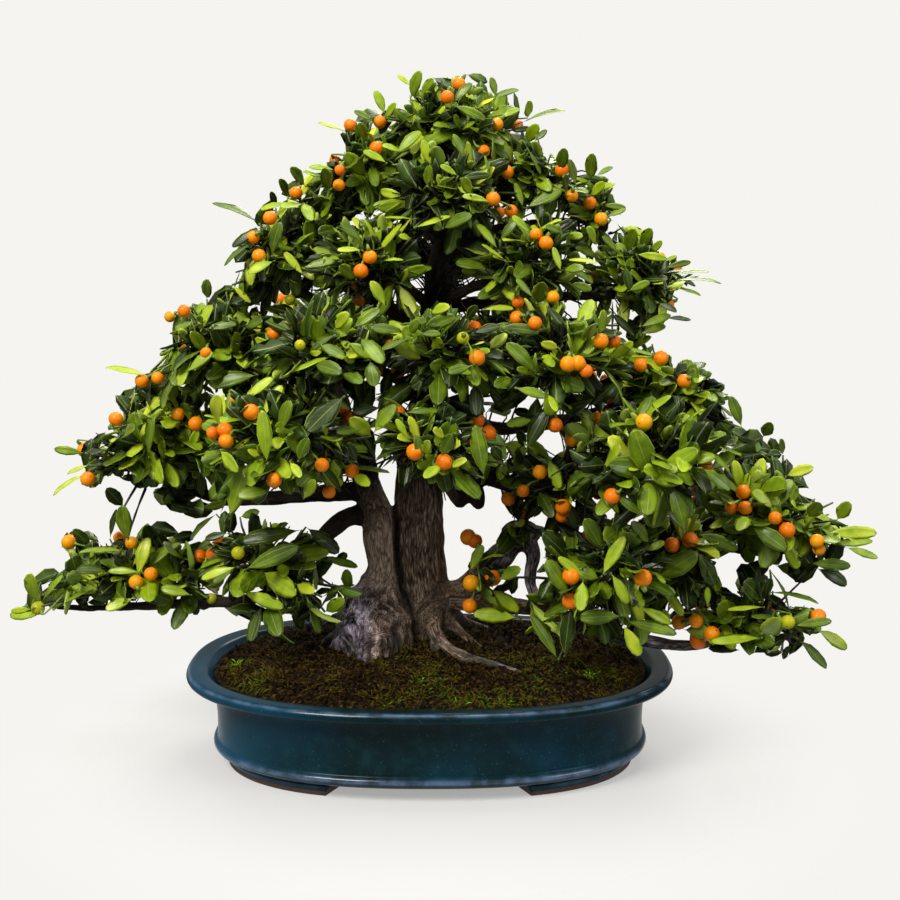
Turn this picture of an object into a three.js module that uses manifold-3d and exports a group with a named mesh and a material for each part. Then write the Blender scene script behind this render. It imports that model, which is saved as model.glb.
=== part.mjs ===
// Small-fruited orange bonsai in an oval glazed pot.
// Millimetres, +Z up. The origin is under the middle of the pot, on the surface that it stands on.
// The front of the tree faces -Y and +X is to the right of somebody who looks at that front.

import * as THREE from 'three';
import * as BufferGeometryUtils from 'three/addons/utils/BufferGeometryUtils.js';
import Module from 'manifold-3d';

const wasm = await Module();
wasm.setup();

// Driving sizes

const GAP = 0.52; // clear space between two pieces that touch on the real tree

const POT = {
  halfLength: 242,
  halfDepth: 172,
  squareness: 2.4, // power of the superellipse that the rim follows, 2 is a plain ellipse
  sides: 40,
};

// Each ring of the pot's wall: inset from the rim's outer edge, and height.
const POT_RINGS = [
  [38, 12],
  [27, 15.5],
  [24, 21],
  [28.3, 30],
  [28.2, 54],
  [22, 80.5],
  [3, 84.8],
  [0, 88],
  [1.6, 95],
  [20, 95],
  [32.5, 80],
  [36.5, 54],
  [38, 26],
  [46, 17],
];
const INNER_WALL_START = 10; // first ring of the wall that faces the soil

const FOOT = {
  inset: 37,
  width: 26,
  top: 13.4, // a little above the pot's underside, so that the two are one body
  startDegrees: 7, // from the pot's long axis
  endDegrees: 66,
  stations: 5,
};

const DRAIN = { radius: 11, x: 105, z: 10, length: 40, sides: 8 };

const SOIL = {
  edgeHeight: 89,
  edgeInset: 25.2,
  rise: 34,
  roundness: 1.3, // power that rounds the mound's edge
  mound: [0.84, 0.62, 0.34], // rings of the mound, as shares of its edge
  floor: 17.6,
  fromWall: 0.62,
  sides: 20,
};

const LEAF = {
  width: 17,
  widths: [0.9, 1.2], // narrowest and widest, as shares of the width
  thickness: 1.5,
  arch: 3.2, // height of the midrib above the line from base to tip
  rings: [[0.36, 0.86], [0.72, 0.94]], // each ring's share of the length and of the width
  shortest: 38,
  longest: 50,
  sunk: 8, // length of the stalk end that lies inside the twig mass
  lowest: -0.62, // height of the lowest leaves on a spray, as a share of its half height
  lean: 1.5, // how far leaves lean round the spray, from side to side
  turn: 1.6, // how much a leaf's face turns with its lean
  flatten: 0.7, // share that is kept of the height in a leaf's direction
  lift: 0.1,
  facingUp: 0.45,
};

const FRUIT = {
  radius: 7.6,
  stalk: 1.3,
  sides: 5,
  waist: 0.45, // height of its two wide rings, as a share of the radius
  belly: 0.92, // their radius, as a share of its own
  stalkEnd: 0.95,
  sunk: 5, // length of the stalk that lies inside the twig mass
  nearest: 12, // distances of its middle from the twig mass
  farthest: 22,
  lowest: -0.5,
  turn: 1.3, // turn of the fruits round a spray against its leaves
};

const TWIG = { radius: 1.9, taper: 0.8, sides: 3, overlap: 3 };

const LIMB = {
  startCap: 0.1, // height of the point that closes a limb's thick end
  endCap: 0.4, // and its tip, as a share of the radius there
  lobeTurn: 0.7, // how far the three lobes turn from one point to the next
  secondLobes: 0.6, // height of the two further lobes, as a share of the three
};

// Trunks, roots and limbs. Each is a run of points [x, y, z, radius], from its thick end to its tip.

const WOOD = {
  trunk: {
    sides: 9,
    lobes: 0.07,
    run: [[-2, 4, 78, 38], [-3, 4, 118, 35], [-5, 3, 142, 31], [-7, 1, 166, 27.5], [-10, 0, 200, 25.5],
      [-10.5, 0, 257, 24.5], [-9, 0, 300, 22.5], [-5, 0, 340, 18.5], [4, 2, 430, 14], [11, 2, 504, 10],
      [21, 0, 604, 5]],
  },
  second_trunk: {
    sides: 9,
    lobes: 0.1,
    run: [[-50, -22, 76, 36], [-52, -22, 112, 38], [-56, -20, 136, 40], [-55, -17, 154, 31],
      [-50, -14, 171, 20.5], [-46, -10, 194, 14.5], [-48.5, -8, 217, 15.5], [-50, -6, 238, 16.5],
      [-60, -2, 266, 14.2], [-67, 3, 294, 13.5], [-82, 8, 330, 9.5], [-98, 10, 368, 7], [-136, 8, 392, 5.5],
      [-176, 4, 402, 4]],
  },
  toe_front: { sides: 5, run: [[-50, -40, 128, 20], [-54, -58, 108, 12.5], [-57, -72, 92, 7.5]] },
  toe_left: { sides: 5, run: [[-70, -26, 130, 20], [-86, -30, 114, 12], [-96, -34, 98, 7]] },
  toe_back: { sides: 5, run: [[-20, 24, 130, 24], [-34, 56, 114, 14], [-50, 84, 98, 6]] },
  root_right: {
    sides: 5,
    run: [[2, -18, 146, 13], [6, -40, 132, 7.2], [20, -56, 121, 5.6], [38, -66, 114, 4.9], [62, -72, 110, 4.1],
      [92, -76, 102, 2.6]],
  },
  root_right_back: { sides: 4, run: [[12, 0, 146, 13], [34, 16, 126, 8], [66, 30, 112, 5], [96, 42, 100, 3]] },
  root_middle: { sides: 4, run: [[14, -10, 142, 8], [32, -24, 126, 4.5], [52, -34, 114, 3]] },
  arch: {
    sides: 6,
    run: [[0, -4, 163, 15], [20, -10, 166, 12], [36, -15, 172, 12], [52, -19, 185, 13], [69, -23, 204, 12.5],
      [82, -27, 224, 14], [96, -30, 228, 12.5], [103, -32, 211, 8], [99, -34, 188, 5.8], [108, -42, 165, 5.8],
      [128, -64, 178, 5.2], [156, -90, 196, 4.5]],
  },
  low_right: {
    sides: 5,
    run: [[24, -12, 160, 12], [46, -20, 157, 10], [74, -26, 157, 9], [106, -34, 155, 7.5],
      [160, -40, 140, 6.5], [214, -38, 124, 6], [262, -34, 118, 5.2], [316, -30, 146, 4]],
  },
  right_long: {
    sides: 5,
    run: [[-4, -2, 290, 14], [20, -8, 292, 10.5], [42, -14, 288, 9.5], [68, -20, 280, 8], [110, -20, 262, 7.5],
      [160, -12, 240, 6.5], [222, -5, 232, 5.5], [300, -4, 238, 4.4]],
  },
  stub_low: { sides: 4, run: [[18, -12, 286, 10], [26, -18, 268, 9], [32, -22, 256, 6]] },
  stub_high: { sides: 4, run: [[40, -14, 284, 8], [46, -20, 266, 8], [49, -21, 254, 5]] },
  right_front: { sides: 4, run: [[66, -18, 280, 7], [112, -66, 286, 5.5], [168, -108, 304, 4]] },
  right_near: { sides: 4, run: [[66, -18, 280, 7], [84, -28, 278, 5], [104, -36, 276, 4]] },
  right_back: { sides: 4, run: [[-6, 4, 286, 11], [38, 46, 282, 7], [108, 98, 276, 5.5], [180, 126, 284, 4]] },
  right_middle: {
    sides: 5,
    run: [[-3, 0, 344, 13], [22, 0, 340, 9.5], [44, 0, 334, 8], [78, 0, 329, 7], [130, 0, 338, 6.4],
      [208, 0, 355, 5]],
  },
  low_right_riser: { sides: 4, run: [[196, -38, 129, 6], [214, -40, 162, 4.4], [236, -42, 194, 3.6]] },
  low_left: {
    sides: 5,
    run: [[-56, -5, 240, 12], [-78, -2, 242, 9.6], [-99, 0, 227, 8.8], [-118, 0, 208, 8], [-131, -3, 184, 7],
      [-152, -5, 166, 6.4], [-192, 0, 154, 6], [-242, 8, 152, 5.2], [-292, 17, 172, 4]],
  },
  left_inner: { sides: 4, run: [[-126, -3, 194, 6], [-138, -26, 198, 4.4], [-148, -36, 201, 3]] },
  left_long: {
    sides: 5,
    run: [[-64, -2, 266, 11], [-84, 4, 266, 9.5], [-120, 8, 262, 8], [-156, 10, 258, 7], [-206, 12, 256, 6],
      [-242, 12, 272, 5], [-264, 11, 298, 4]],
  },
  left_middle: { sides: 4, run: [[-82, 8, 328, 7], [-114, 7, 332, 5], [-138, 6, 332, 4]] },
  left_front: { sides: 4, run: [[-64, 0, 284, 8], [-88, -52, 304, 6], [-118, -108, 328, 4]] },
  left_back: { sides: 4, run: [[-62, 2, 280, 8], [-94, 62, 286, 6], [-138, 112, 296, 4]] },
  upper_back_left: { sides: 4, run: [[-82, 8, 334, 7], [-94, 66, 374, 5.2], [-106, 112, 400, 4]] },
  upper_back_right: { sides: 4, run: [[0, 4, 384, 10], [48, 66, 394, 6], [102, 112, 404, 4]] },
  upper_front_left: { sides: 4, run: [[-3, 0, 362, 9], [-36, -48, 386, 5.5], [-70, -84, 402, 4]] },
  upper_front: { sides: 4, run: [[0, -2, 376, 9], [6, -54, 394, 5.5], [13, -98, 406, 4]] },
  upper_front_right: { sides: 4, run: [[1, 0, 384, 9], [50, -46, 392, 5.5], [100, -86, 401, 4]] },
  low_front: { sides: 4, run: [[-8, -4, 296, 10], [-4, -58, 312, 6], [5, -122, 326, 4]] },
  left_second: { sides: 4, run: [[3, 2, 416, 9], [-48, -4, 452, 6.4], [-114, -14, 484, 4.4]] },
  right_second: { sides: 4, run: [[6, 4, 446, 8], [60, 2, 454, 6], [122, 0, 458, 5], [180, 0, 460, 4]] },
  right_third: { sides: 4, run: [[11, 2, 500, 7], [66, 6, 524, 5], [160, 12, 534, 3.6]] },
  second_front_left: { sides: 4, run: [[5, 2, 446, 8], [-18, -30, 466, 4.6], [-38, -48, 478, 3.6]] },
  second_front_right: { sides: 4, run: [[7, 2, 452, 8], [46, -28, 470, 4.6], [74, -48, 480, 3.6]] },
  second_back: { sides: 4, run: [[8, 4, 452, 8], [9, 60, 474, 5.4], [10, 98, 488, 4]] },
  crown_left: { sides: 4, run: [[12, 2, 512, 7], [-26, -2, 552, 4.6], [-50, -6, 572, 3.4]] },
  crown_right: { sides: 4, run: [[13, 2, 514, 6.5], [56, 0, 546, 4.6], [88, 0, 562, 3.4]] },
  crown_front: { sides: 4, run: [[11, 0, 500, 6.5], [16, -34, 528, 4.2], [18, -56, 544, 3.4]] },
  crown_back: { sides: 4, run: [[11, 2, 500, 6.5], [16, 42, 538, 4.2], [20, 60, 556, 3.4]] },
};

// Leafy sprays: middle [x, y, z] and reach of the leaf tips [along x, y, z]. Tips are single shoots
// that stand out of the mass, given by the point of their last leaf.

const SPRAYS = {
  crown: { middle: [22, 0, 618], reach: [78, 70, 52], tips: [[-26, 0, 671], [37, -6, 673], [-46, -14, 653]] },
  crown_left: { middle: [-68, -8, 580], reach: [64, 60, 52], tips: [[-104, -10, 621]] },
  crown_right: { middle: [110, 0, 568], reach: [64, 58, 52], tips: [[129, 0, 630]] },
  crown_front: { middle: [18, -68, 552], reach: [70, 50, 52], tips: [] },
  crown_back: { middle: [22, 78, 566], reach: [78, 56, 54], tips: [] },
  left_second: { middle: [-142, -18, 500], reach: [76, 64, 58], tips: [[-209, 0, 547]] },
  right_second: { middle: [212, 0, 470], reach: [72, 64, 54], tips: [[284, 0, 472], [266, -20, 490]] },
  right_third: { middle: [172, 14, 530], reach: [50, 52, 46], tips: [] },
  second_front_left: { middle: [-52, -64, 486], reach: [60, 52, 56], tips: [] },
  second_front_right: { middle: [92, -64, 484], reach: [64, 52, 58], tips: [] },
  second_back: { middle: [12, 120, 494], reach: [96, 66, 60], tips: [] },
  left_third: { middle: [-210, 0, 408], reach: [80, 72, 58], tips: [] },
  upper_front_left: { middle: [-92, -104, 410], reach: [74, 64, 56], tips: [] },
  upper_front: { middle: [14, -124, 410], reach: [62, 62, 50], tips: [] },
  upper_front_right: { middle: [118, -104, 404], reach: [72, 64, 58], tips: [] },
  right_upper: { middle: [240, 0, 364], reach: [82, 74, 60], tips: [[299, 0, 396]] },
  upper_back_left: { middle: [-112, 128, 410], reach: [92, 74, 60], tips: [] },
  upper_back_right: { middle: [118, 128, 410], reach: [92, 74, 60], tips: [] },
  left_long: {
    middle: [-276, 10, 308],
    reach: [94, 84, 60],
    tips: [[-317, 0, 386], [-374, 10, 300], [-374, 10, 258]],
  },
  left_middle: { middle: [-166, 4, 334], reach: [62, 60, 54], tips: [] },
  left_front: { middle: [-128, -126, 336], reach: [82, 76, 60], tips: [[-140, -213, 322]] },
  left_back: { middle: [-160, 130, 304], reach: [98, 74, 58], tips: [[-180, 213, 300]] },
  low_front: { middle: [8, -140, 332], reach: [60, 54, 46], tips: [] },
  right_long: { middle: [342, -4, 244], reach: [94, 84, 62], tips: [[434, -40, 212], [384, 0, 296]] },
  right_near: { middle: [128, -44, 280], reach: [62, 56, 46], tips: [] },
  right_front: { middle: [196, -124, 316], reach: [86, 78, 62], tips: [[190, -213, 300]] },
  right_back: { middle: [214, 132, 288], reach: [92, 74, 52], tips: [[230, 213, 286]] },
  low_left: {
    middle: [-298, 18, 176],
    reach: [98, 72, 44],
    tips: [[-434, 42, 136], [-404, 36, 184], [-302, 20, 246]],
  },
  left_inner: { middle: [-158, -42, 206], reach: [68, 62, 52], tips: [] },
  low_right: { middle: [326, -30, 152], reach: [88, 76, 46], tips: [[408, -40, 116], [386, -50, 102]] },
  low_right_riser: { middle: [248, -42, 204], reach: [62, 60, 50], tips: [] },
  right_inner: { middle: [164, -98, 208], reach: [70, 64, 54], tips: [] },
  arch_tuft: { middle: [90, -31, 243], reach: [30, 30, 30], tips: [] },
  arch_sprout: { middle: [48, -34, 190], reach: [30, 34, 34], tips: [[66, -44, 158]] },
};

const CORE = {
  leafDepth: 30, // how much shorter the twig mass reaches than its leaves
  least: 0.3, // smallest share of the reach that the twig mass keeps
  lumps: 0.13,
  sides: 7,
  levels: [-0.62, -0.05, 0.6], // heights of its rings, as shares of its half height
  cornerShift: 0.5, // how far a corner may move round its ring, as a share of a side
  bottom: 0.8, // depth of its lowest point, as a share of its half height
};

const TRY = {
  count: 10,
  bend: 0.3, // how far aside the first try of a leaf or fruit is bent
  furtherBend: 0.12, // and how much further each later one
  apart: 0.2, // clear space between the leaves and fruits of one spray
};

const FIRST_SEED = 100;

const TIP_LEAF_UP = new THREE.Vector3(0, 0.25, 1); // which way the single shoots' leaves face

const LEAVES_PER_AREA = 0.00087; // leaves on each square millimetre of a spray's box face
const FRUITS_PER_AREA = 0.00009;

const COLOURS = {
  pot: 0x24455a,
  soil: 0x3b3418,
  wood: 0x5d5048,
  foliage: 0x4f8f1f,
};

// Small maths

function seeded(seed) {
  let state = seed >>> 0;
  return () => {
    state = (state + 0x6d2b79f5) >>> 0;
    let mixed = Math.imul(state ^ (state >>> 15), state | 1);
    mixed ^= mixed + Math.imul(mixed ^ (mixed >>> 7), mixed | 61);
    return ((mixed ^ (mixed >>> 14)) >>> 0) / 4294967296;
  };
}

const vector = (point) => new THREE.Vector3(point[0], point[1], point[2]);

const signedPower = (value, power) => Math.sign(value) * Math.abs(value) ** power;

// Point of the pot's plan outline, drawn in by an inset, at an angle that runs round the pot.
function potOutline(inset, angle, z) {
  const power = 2 / POT.squareness;
  return new THREE.Vector3(
    (POT.halfLength - inset) * signedPower(Math.cos(angle), power),
    (POT.halfDepth - inset) * signedPower(Math.sin(angle), power),
    z,
  );
}

function potRing(inset, z, sides) {
  return Array.from({ length: sides }, (_, side) => potOutline(inset, (side / sides) * Math.PI * 2, z));
}

// Solids

function solidFromArrays(vertices, triangles) {
  const positions = new Float32Array(vertices.flatMap((point) => [point.x, point.y, point.z]));
  let volume = 0;
  for (const [a, b, c] of triangles) {
    volume += vertices[a].dot(new THREE.Vector3().crossVectors(vertices[b], vertices[c]));
  }
  const facingOut = volume > 0 ? triangles : triangles.map(([a, b, c]) => [a, c, b]);
  return new wasm.Manifold(new wasm.Mesh({
    numProp: 3,
    vertProperties: positions,
    triVerts: new Uint32Array(facingOut.flat()),
  }));
}

// Closed body through rings with the same number of points, drawn together in a point at each end.
function loft(rings, firstPoint, lastPoint) {
  const sides = rings[0].length;
  const vertices = [...rings.flat(), firstPoint, lastPoint];
  const first = vertices.length - 2;
  const last = vertices.length - 1;
  const triangles = [];
  for (let side = 0; side < sides; side += 1) {
    const next = (side + 1) % sides;
    const top = (rings.length - 1) * sides;
    triangles.push([first, next, side]);
    triangles.push([last, top + side, top + next]);
    for (let ring = 0; ring + 1 < rings.length; ring += 1) {
      const low = ring * sides;
      const high = low + sides;
      triangles.push([low + side, low + next, high + side]);
      triangles.push([low + next, high + next, high + side]);
    }
  }
  return solidFromArrays(vertices, triangles);
}

function solidFromGeometry(geometry) {
  const bare = geometry.clone();
  bare.deleteAttribute('normal');
  bare.deleteAttribute('uv');
  const merged = BufferGeometryUtils.mergeVertices(bare);
  return new wasm.Manifold(new wasm.Mesh({
    numProp: 3,
    vertProperties: new Float32Array(merged.attributes.position.array),
    triVerts: new Uint32Array(merged.index.array),
  }));
}

function join(solids) {
  return solids.reduce((whole, solid) => whole.add(solid));
}

// The largest of the bodies that a solid falls into, so that a cut leaves no loose scrap.
function largestBody(solid) {
  const bodies = solid.decompose();
  return bodies.reduce((best, body) => (body.volume() > best.volume() ? body : best));
}

function meshOf(name, solid, colour, roughness) {
  const { vertProperties, triVerts } = solid.getMesh();
  const geometry = new THREE.BufferGeometry();
  geometry.setAttribute('position', new THREE.BufferAttribute(new Float32Array(vertProperties), 3));
  geometry.setIndex(new THREE.BufferAttribute(new Uint32Array(triVerts), 1));
  geometry.computeVertexNormals();
  const material = new THREE.MeshStandardMaterial({ color: colour, roughness, metalness: 0, flatShading: true });
  const mesh = new THREE.Mesh(geometry, material);
  mesh.name = name;
  return mesh;
}

// Pot

function potFoot(turn, mirror) {
  const rings = [];
  for (let station = 0; station < FOOT.stations; station += 1) {
    const share = station / (FOOT.stations - 1);
    const degrees = FOOT.startDegrees + (FOOT.endDegrees - FOOT.startDegrees) * share;
    const angle = turn + mirror * THREE.MathUtils.degToRad(degrees);
    const inner = FOOT.inset + FOOT.width;
    rings.push([
      potOutline(FOOT.inset, angle, 0),
      potOutline(inner, angle, 0),
      potOutline(inner, angle, FOOT.top),
      potOutline(FOOT.inset, angle, FOOT.top),
    ]);
  }
  const middleOf = (ring) => ring.reduce((sum, point) => sum.add(point), new THREE.Vector3())
    .divideScalar(ring.length);
  return loft(rings, middleOf(rings[0]), middleOf(rings.at(-1)));
}

function potSolid() {
  const rings = POT_RINGS.map(([inset, z]) => potRing(inset, z, POT.sides));
  const underside = new THREE.Vector3(0, 0, POT_RINGS[0][1]);
  const floor = new THREE.Vector3(0, 0, POT_RINGS.at(-1)[1]);
  let pot = loft(rings, underside, floor);
  for (const turn of [0, Math.PI]) {
    pot = pot.add(potFoot(turn, 1)).add(potFoot(turn, -1));
    const drain = new THREE.CylinderGeometry(DRAIN.radius, DRAIN.radius, DRAIN.length, DRAIN.sides);
    drain.rotateX(Math.PI / 2);
    drain.translate(DRAIN.x * Math.cos(turn), 0, DRAIN.z);
    pot = pot.subtract(solidFromGeometry(drain));
  }
  return pot;
}

// Soil: fills the pot and rises in a mound to the trunk

function soilSolid() {
  const innerWall = POT_RINGS.slice(INNER_WALL_START).reverse();
  const rings = innerWall.map(([inset, z]) => (
    potRing(inset + SOIL.fromWall, Math.max(z, SOIL.floor), SOIL.sides)));
  rings.push(potRing(SOIL.edgeInset + SOIL.fromWall, SOIL.edgeHeight, SOIL.sides));
  for (const share of SOIL.mound) {
    const z = SOIL.edgeHeight + SOIL.rise * (1 - share ** 2) ** SOIL.roundness;
    const edge = potRing(SOIL.edgeInset + SOIL.fromWall, z, SOIL.sides);
    rings.push(edge.map((point) => point.setX(point.x * share).setY(point.y * share)));
  }
  const middle = new THREE.Vector3(0, 0, SOIL.edgeHeight + SOIL.rise);
  return loft(rings, new THREE.Vector3(0, 0, SOIL.floor), middle);
}

// Wood

// Round or lobed tube through a run of points. The section turns as little as it can along the run.
// A growth makes the same tube larger on every side, ends too.
function limbSolid({ run, sides, lobes = 0 }, grow = 0) {
  const points = run.map(vector);
  const tangents = points.map((point, index) => {
    const before = points[Math.max(index - 1, 0)];
    const after = points[Math.min(index + 1, points.length - 1)];
    return new THREE.Vector3().subVectors(after, before).normalize();
  });
  points[0].addScaledVector(tangents[0], -grow);
  points.at(-1).addScaledVector(tangents.at(-1), grow);
  let across = new THREE.Vector3(0, -1, 0);
  const rings = points.map((point, index) => {
    const tangent = tangents[index];
    across = across.addScaledVector(tangent, -across.dot(tangent)).normalize();
    const side = new THREE.Vector3().crossVectors(tangent, across);
    return Array.from({ length: sides }, (_, corner) => {
      const angle = (corner / sides) * Math.PI * 2;
      const three = Math.cos(3 * angle + index * LIMB.lobeTurn);
      const two = Math.cos(2 * angle - index) * LIMB.secondLobes;
      const radius = run[index][3] * (1 + lobes * (three + two)) + grow;
      return point.clone()
        .addScaledVector(across, Math.cos(angle) * radius)
        .addScaledVector(side, Math.sin(angle) * radius);
    });
  });
  const start = points[0].clone().addScaledVector(tangents[0], -LIMB.startCap);
  const end = points.at(-1).clone().addScaledVector(tangents.at(-1), run.at(-1)[3] * LIMB.endCap);
  return loft(rings, start, end);
}

function woodSolid(grow = 0) {
  return join(Object.values(WOOD).map((limb) => limbSolid(limb, grow)));
}

// Foliage

// Blade from base to tip, folded a little along its midrib and arched along its length.
function leafSolid(base, tip, up, width) {
  const along = new THREE.Vector3().subVectors(tip, base);
  const forward = along.clone().normalize();
  const across = new THREE.Vector3().crossVectors(forward, up).normalize();
  const face = new THREE.Vector3().crossVectors(across, forward).normalize();
  const rings = LEAF.rings.map(([share, swell]) => {
    const half = (width / 2) * swell;
    const arch = LEAF.arch * Math.sin(Math.PI * share);
    const spine = base.clone().addScaledVector(along, share).addScaledVector(face, arch);
    return [
      spine.clone().addScaledVector(across, half).addScaledVector(face, LEAF.thickness / 2),
      spine.clone().addScaledVector(across, -half).addScaledVector(face, LEAF.thickness / 2),
      spine.clone().addScaledVector(face, -LEAF.thickness / 2),
    ];
  });
  return loft(rings, base, tip);
}

// Fruit on its stalk: base is in the twig mass, middle is the fruit's own.
function fruitSolid(base, middle) {
  const forward = new THREE.Vector3().subVectors(middle, base).normalize();
  const helper = Math.abs(forward.z) < 0.8 ? new THREE.Vector3(0, 0, 1) : new THREE.Vector3(1, 0, 0);
  const across = new THREE.Vector3().crossVectors(forward, helper).normalize();
  const side = new THREE.Vector3().crossVectors(forward, across);
  const ringAt = (centre, radius) => Array.from({ length: FRUIT.sides }, (_, corner) => {
    const angle = (corner / FRUIT.sides) * Math.PI * 2;
    return centre.clone()
      .addScaledVector(across, Math.cos(angle) * radius)
      .addScaledVector(side, Math.sin(angle) * radius);
  });
  const at = (share) => middle.clone().addScaledVector(forward, FRUIT.radius * share);
  const rings = [
    ringAt(base, FRUIT.stalk),
    ringAt(at(-FRUIT.stalkEnd), FRUIT.stalk),
    ringAt(at(-FRUIT.waist), FRUIT.radius * FRUIT.belly),
    ringAt(at(FRUIT.waist), FRUIT.radius * FRUIT.belly),
  ];
  return loft(rings, base.clone().addScaledVector(forward, -1), at(1));
}

function twigSolid(from, to) {
  const run = [[from.x, from.y, from.z, TWIG.radius], [to.x, to.y, to.z, TWIG.radius * TWIG.taper]];
  return limbSolid({ run, sides: TWIG.sides });
}

// Lumpy mass of twigs and inner leaves, flatter below than above.
function coreSolid(half, middle, random) {
  const rings = CORE.levels.map((level) => Array.from({ length: CORE.sides }, (_, corner) => {
    const angle = ((corner + random() * CORE.cornerShift) / CORE.sides) * Math.PI * 2;
    const lump = 1 + (random() - 0.5) * 2 * CORE.lumps;
    const radius = Math.sqrt(1 - level ** 2) * lump;
    const offset = new THREE.Vector3(Math.cos(angle) * radius, Math.sin(angle) * radius, level * lump);
    return offset.multiply(half).add(middle);
  }));
  const bottom = middle.clone().setZ(middle.z - half.z * CORE.bottom);
  const top = middle.clone().setZ(middle.z + half.z);
  return loft(rings, bottom, top);
}

// Point number `index` of `count` on a ball, evenly spread from its top to a little below its waist.
function spreadDirection(index, count, lowest, turn) {
  const z = 1 - ((index + 0.5) / count) * (1 - lowest);
  const level = Math.sqrt(1 - z * z);
  const angle = index * Math.PI * (3 - Math.sqrt(5)) + turn;
  return new THREE.Vector3(Math.cos(angle) * level, Math.sin(angle) * level, z);
}

function boxesMeet(one, other, margin) {
  const [a, b] = [one.boundingBox(), other.boundingBox()];
  return [0, 1, 2].every((axis) => a.min[axis] - margin < b.max[axis] && b.min[axis] - margin < a.max[axis]);
}

function isClear(solid, others, margin) {
  return others.every((other) => !boxesMeet(solid, other, margin) || solid.minGap(other, margin) >= margin);
}

function jitter(direction, random, amount) {
  return direction.clone().add(new THREE.Vector3(
    (random() - 0.5) * amount,
    (random() - 0.5) * amount,
    (random() - 0.5) * amount,
  )).normalize();
}

// First leaf or fruit of a few tries that crosses nothing. Later tries are bent further aside.
function firstClear(make, random, obstacles, siblings) {
  for (let attempt = 0; attempt < TRY.count; attempt += 1) {
    const solid = make((direction) => jitter(direction, random, TRY.bend + attempt * TRY.furtherBend));
    if (isClear(solid, obstacles, GAP) && isClear(solid, siblings, TRY.apart)) {
      return solid;
    }
  }
  return null;
}

// Half sizes of a spray's twig mass, from the reach of its leaf tips.
function coreHalf(reach) {
  return new THREE.Vector3(...reach.map((value) => Math.max(value - CORE.leafDepth, value * CORE.least)));
}

// One leafy spray: its twig mass with leaves, fruits and single shoots, clear of the obstacles.
function spraySolid({ middle, reach, tips }, core, random, obstacles, woodClearance) {
  const centre = vector(middle);
  const half = coreHalf(reach);
  const area = reach[0] * reach[1] + reach[0] * reach[2] + reach[1] * reach[2];
  const leafCount = Math.round(area * LEAVES_PER_AREA);
  const fruitCount = Math.round(area * FRUITS_PER_AREA);
  const turn = random() * Math.PI * 2;
  const siblings = [];

  for (const point of tips) {
    const tip = vector(point);
    const outward = new THREE.Vector3().subVectors(tip, centre).normalize();
    const length = (LEAF.shortest + LEAF.longest) / 2;
    const base = tip.clone().addScaledVector(outward, -length);
    siblings.push(leafSolid(base, tip, TIP_LEAF_UP, LEAF.width));
    siblings.push(twigSolid(centre, base.clone().addScaledVector(outward, TWIG.overlap)));
  }

  for (let index = 0; index < fruitCount; index += 1) {
    const spread = spreadDirection(index, fruitCount, FRUIT.lowest, turn + FRUIT.turn);
    const fruit = firstClear((bend) => {
      const direction = bend(spread);
      const surface = centre.clone().add(direction.clone().multiply(half));
      const distance = FRUIT.nearest + (FRUIT.farthest - FRUIT.nearest) * random();
      const middlePoint = surface.clone().addScaledVector(direction, distance);
      return fruitSolid(surface.addScaledVector(direction, -FRUIT.sunk), middlePoint);
    }, random, obstacles, siblings);
    if (fruit) {
      siblings.push(fruit);
    }
  }

  for (let index = 0; index < leafCount; index += 1) {
    const spread = spreadDirection(index, leafCount, LEAF.lowest, turn);
    const leaf = firstClear((bend) => {
      const outward = bend(spread);
      const surface = centre.clone().add(spread.clone().multiply(half));
      const around = new THREE.Vector3(-spread.y, spread.x, 0).normalize();
      const lean = (random() - 0.5) * LEAF.lean;
      const flat = new THREE.Vector3(outward.x, outward.y, outward.z * LEAF.flatten + LEAF.lift);
      const forward = flat.addScaledVector(around, lean).normalize();
      const length = LEAF.shortest + (LEAF.longest - LEAF.shortest) * random();
      const base = surface.clone().addScaledVector(spread, -LEAF.sunk);
      const tip = base.clone().addScaledVector(forward, length);
      const facing = spread.clone().addScaledVector(around, -lean * LEAF.turn);
      facing.z += LEAF.facingUp;
      const [narrowest, widest] = LEAF.widths;
      return leafSolid(base, tip, facing, LEAF.width * (narrowest + (widest - narrowest) * random()));
    }, random, obstacles, siblings);
    if (leaf) {
      siblings.push(leaf);
    }
  }
  return largestBody(join([core, ...siblings]).subtract(woodClearance));
}

// The whole tree

const pot = potSolid();
const wood = woodSolid();
const woodClearance = woodSolid(GAP);
const soil = soilSolid().subtract(woodClearance);

const tree = new THREE.Group();
tree.add(meshOf('pot', pot, COLOURS.pot, 0.25));
tree.add(meshOf('soil', soil, COLOURS.soil, 0.95));
tree.add(meshOf('wood', wood, COLOURS.wood, 0.85));

const sprays = Object.entries(SPRAYS).map(([name, spray], index) => {
  const random = seeded(FIRST_SEED + index);
  return { name, spray, random, solid: coreSolid(coreHalf(spray.reach), vector(spray.middle), random) };
});
sprays.forEach((own) => {
  const obstacles = [pot, soil, wood, ...sprays.filter((other) => other !== own).map((other) => other.solid)];
  own.solid = spraySolid(own.spray, own.solid, own.random, obstacles, woodClearance);
  tree.add(meshOf(`spray_${own.name}`, own.solid, COLOURS.foliage, 0.45));
});

export default tree;
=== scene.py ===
"""Looks of a small-fruited orange bonsai in an oval glazed pot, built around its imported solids.

Sizes are worked out in millimetres and become metres when a mesh is made. The front of the tree
faces -Y, +X is to the right of somebody who looks at that front, and +Z is up.
"""

import functools
import logging
import math
from dataclasses import dataclass, field
from enum import Enum, IntEnum
from itertools import product

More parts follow.
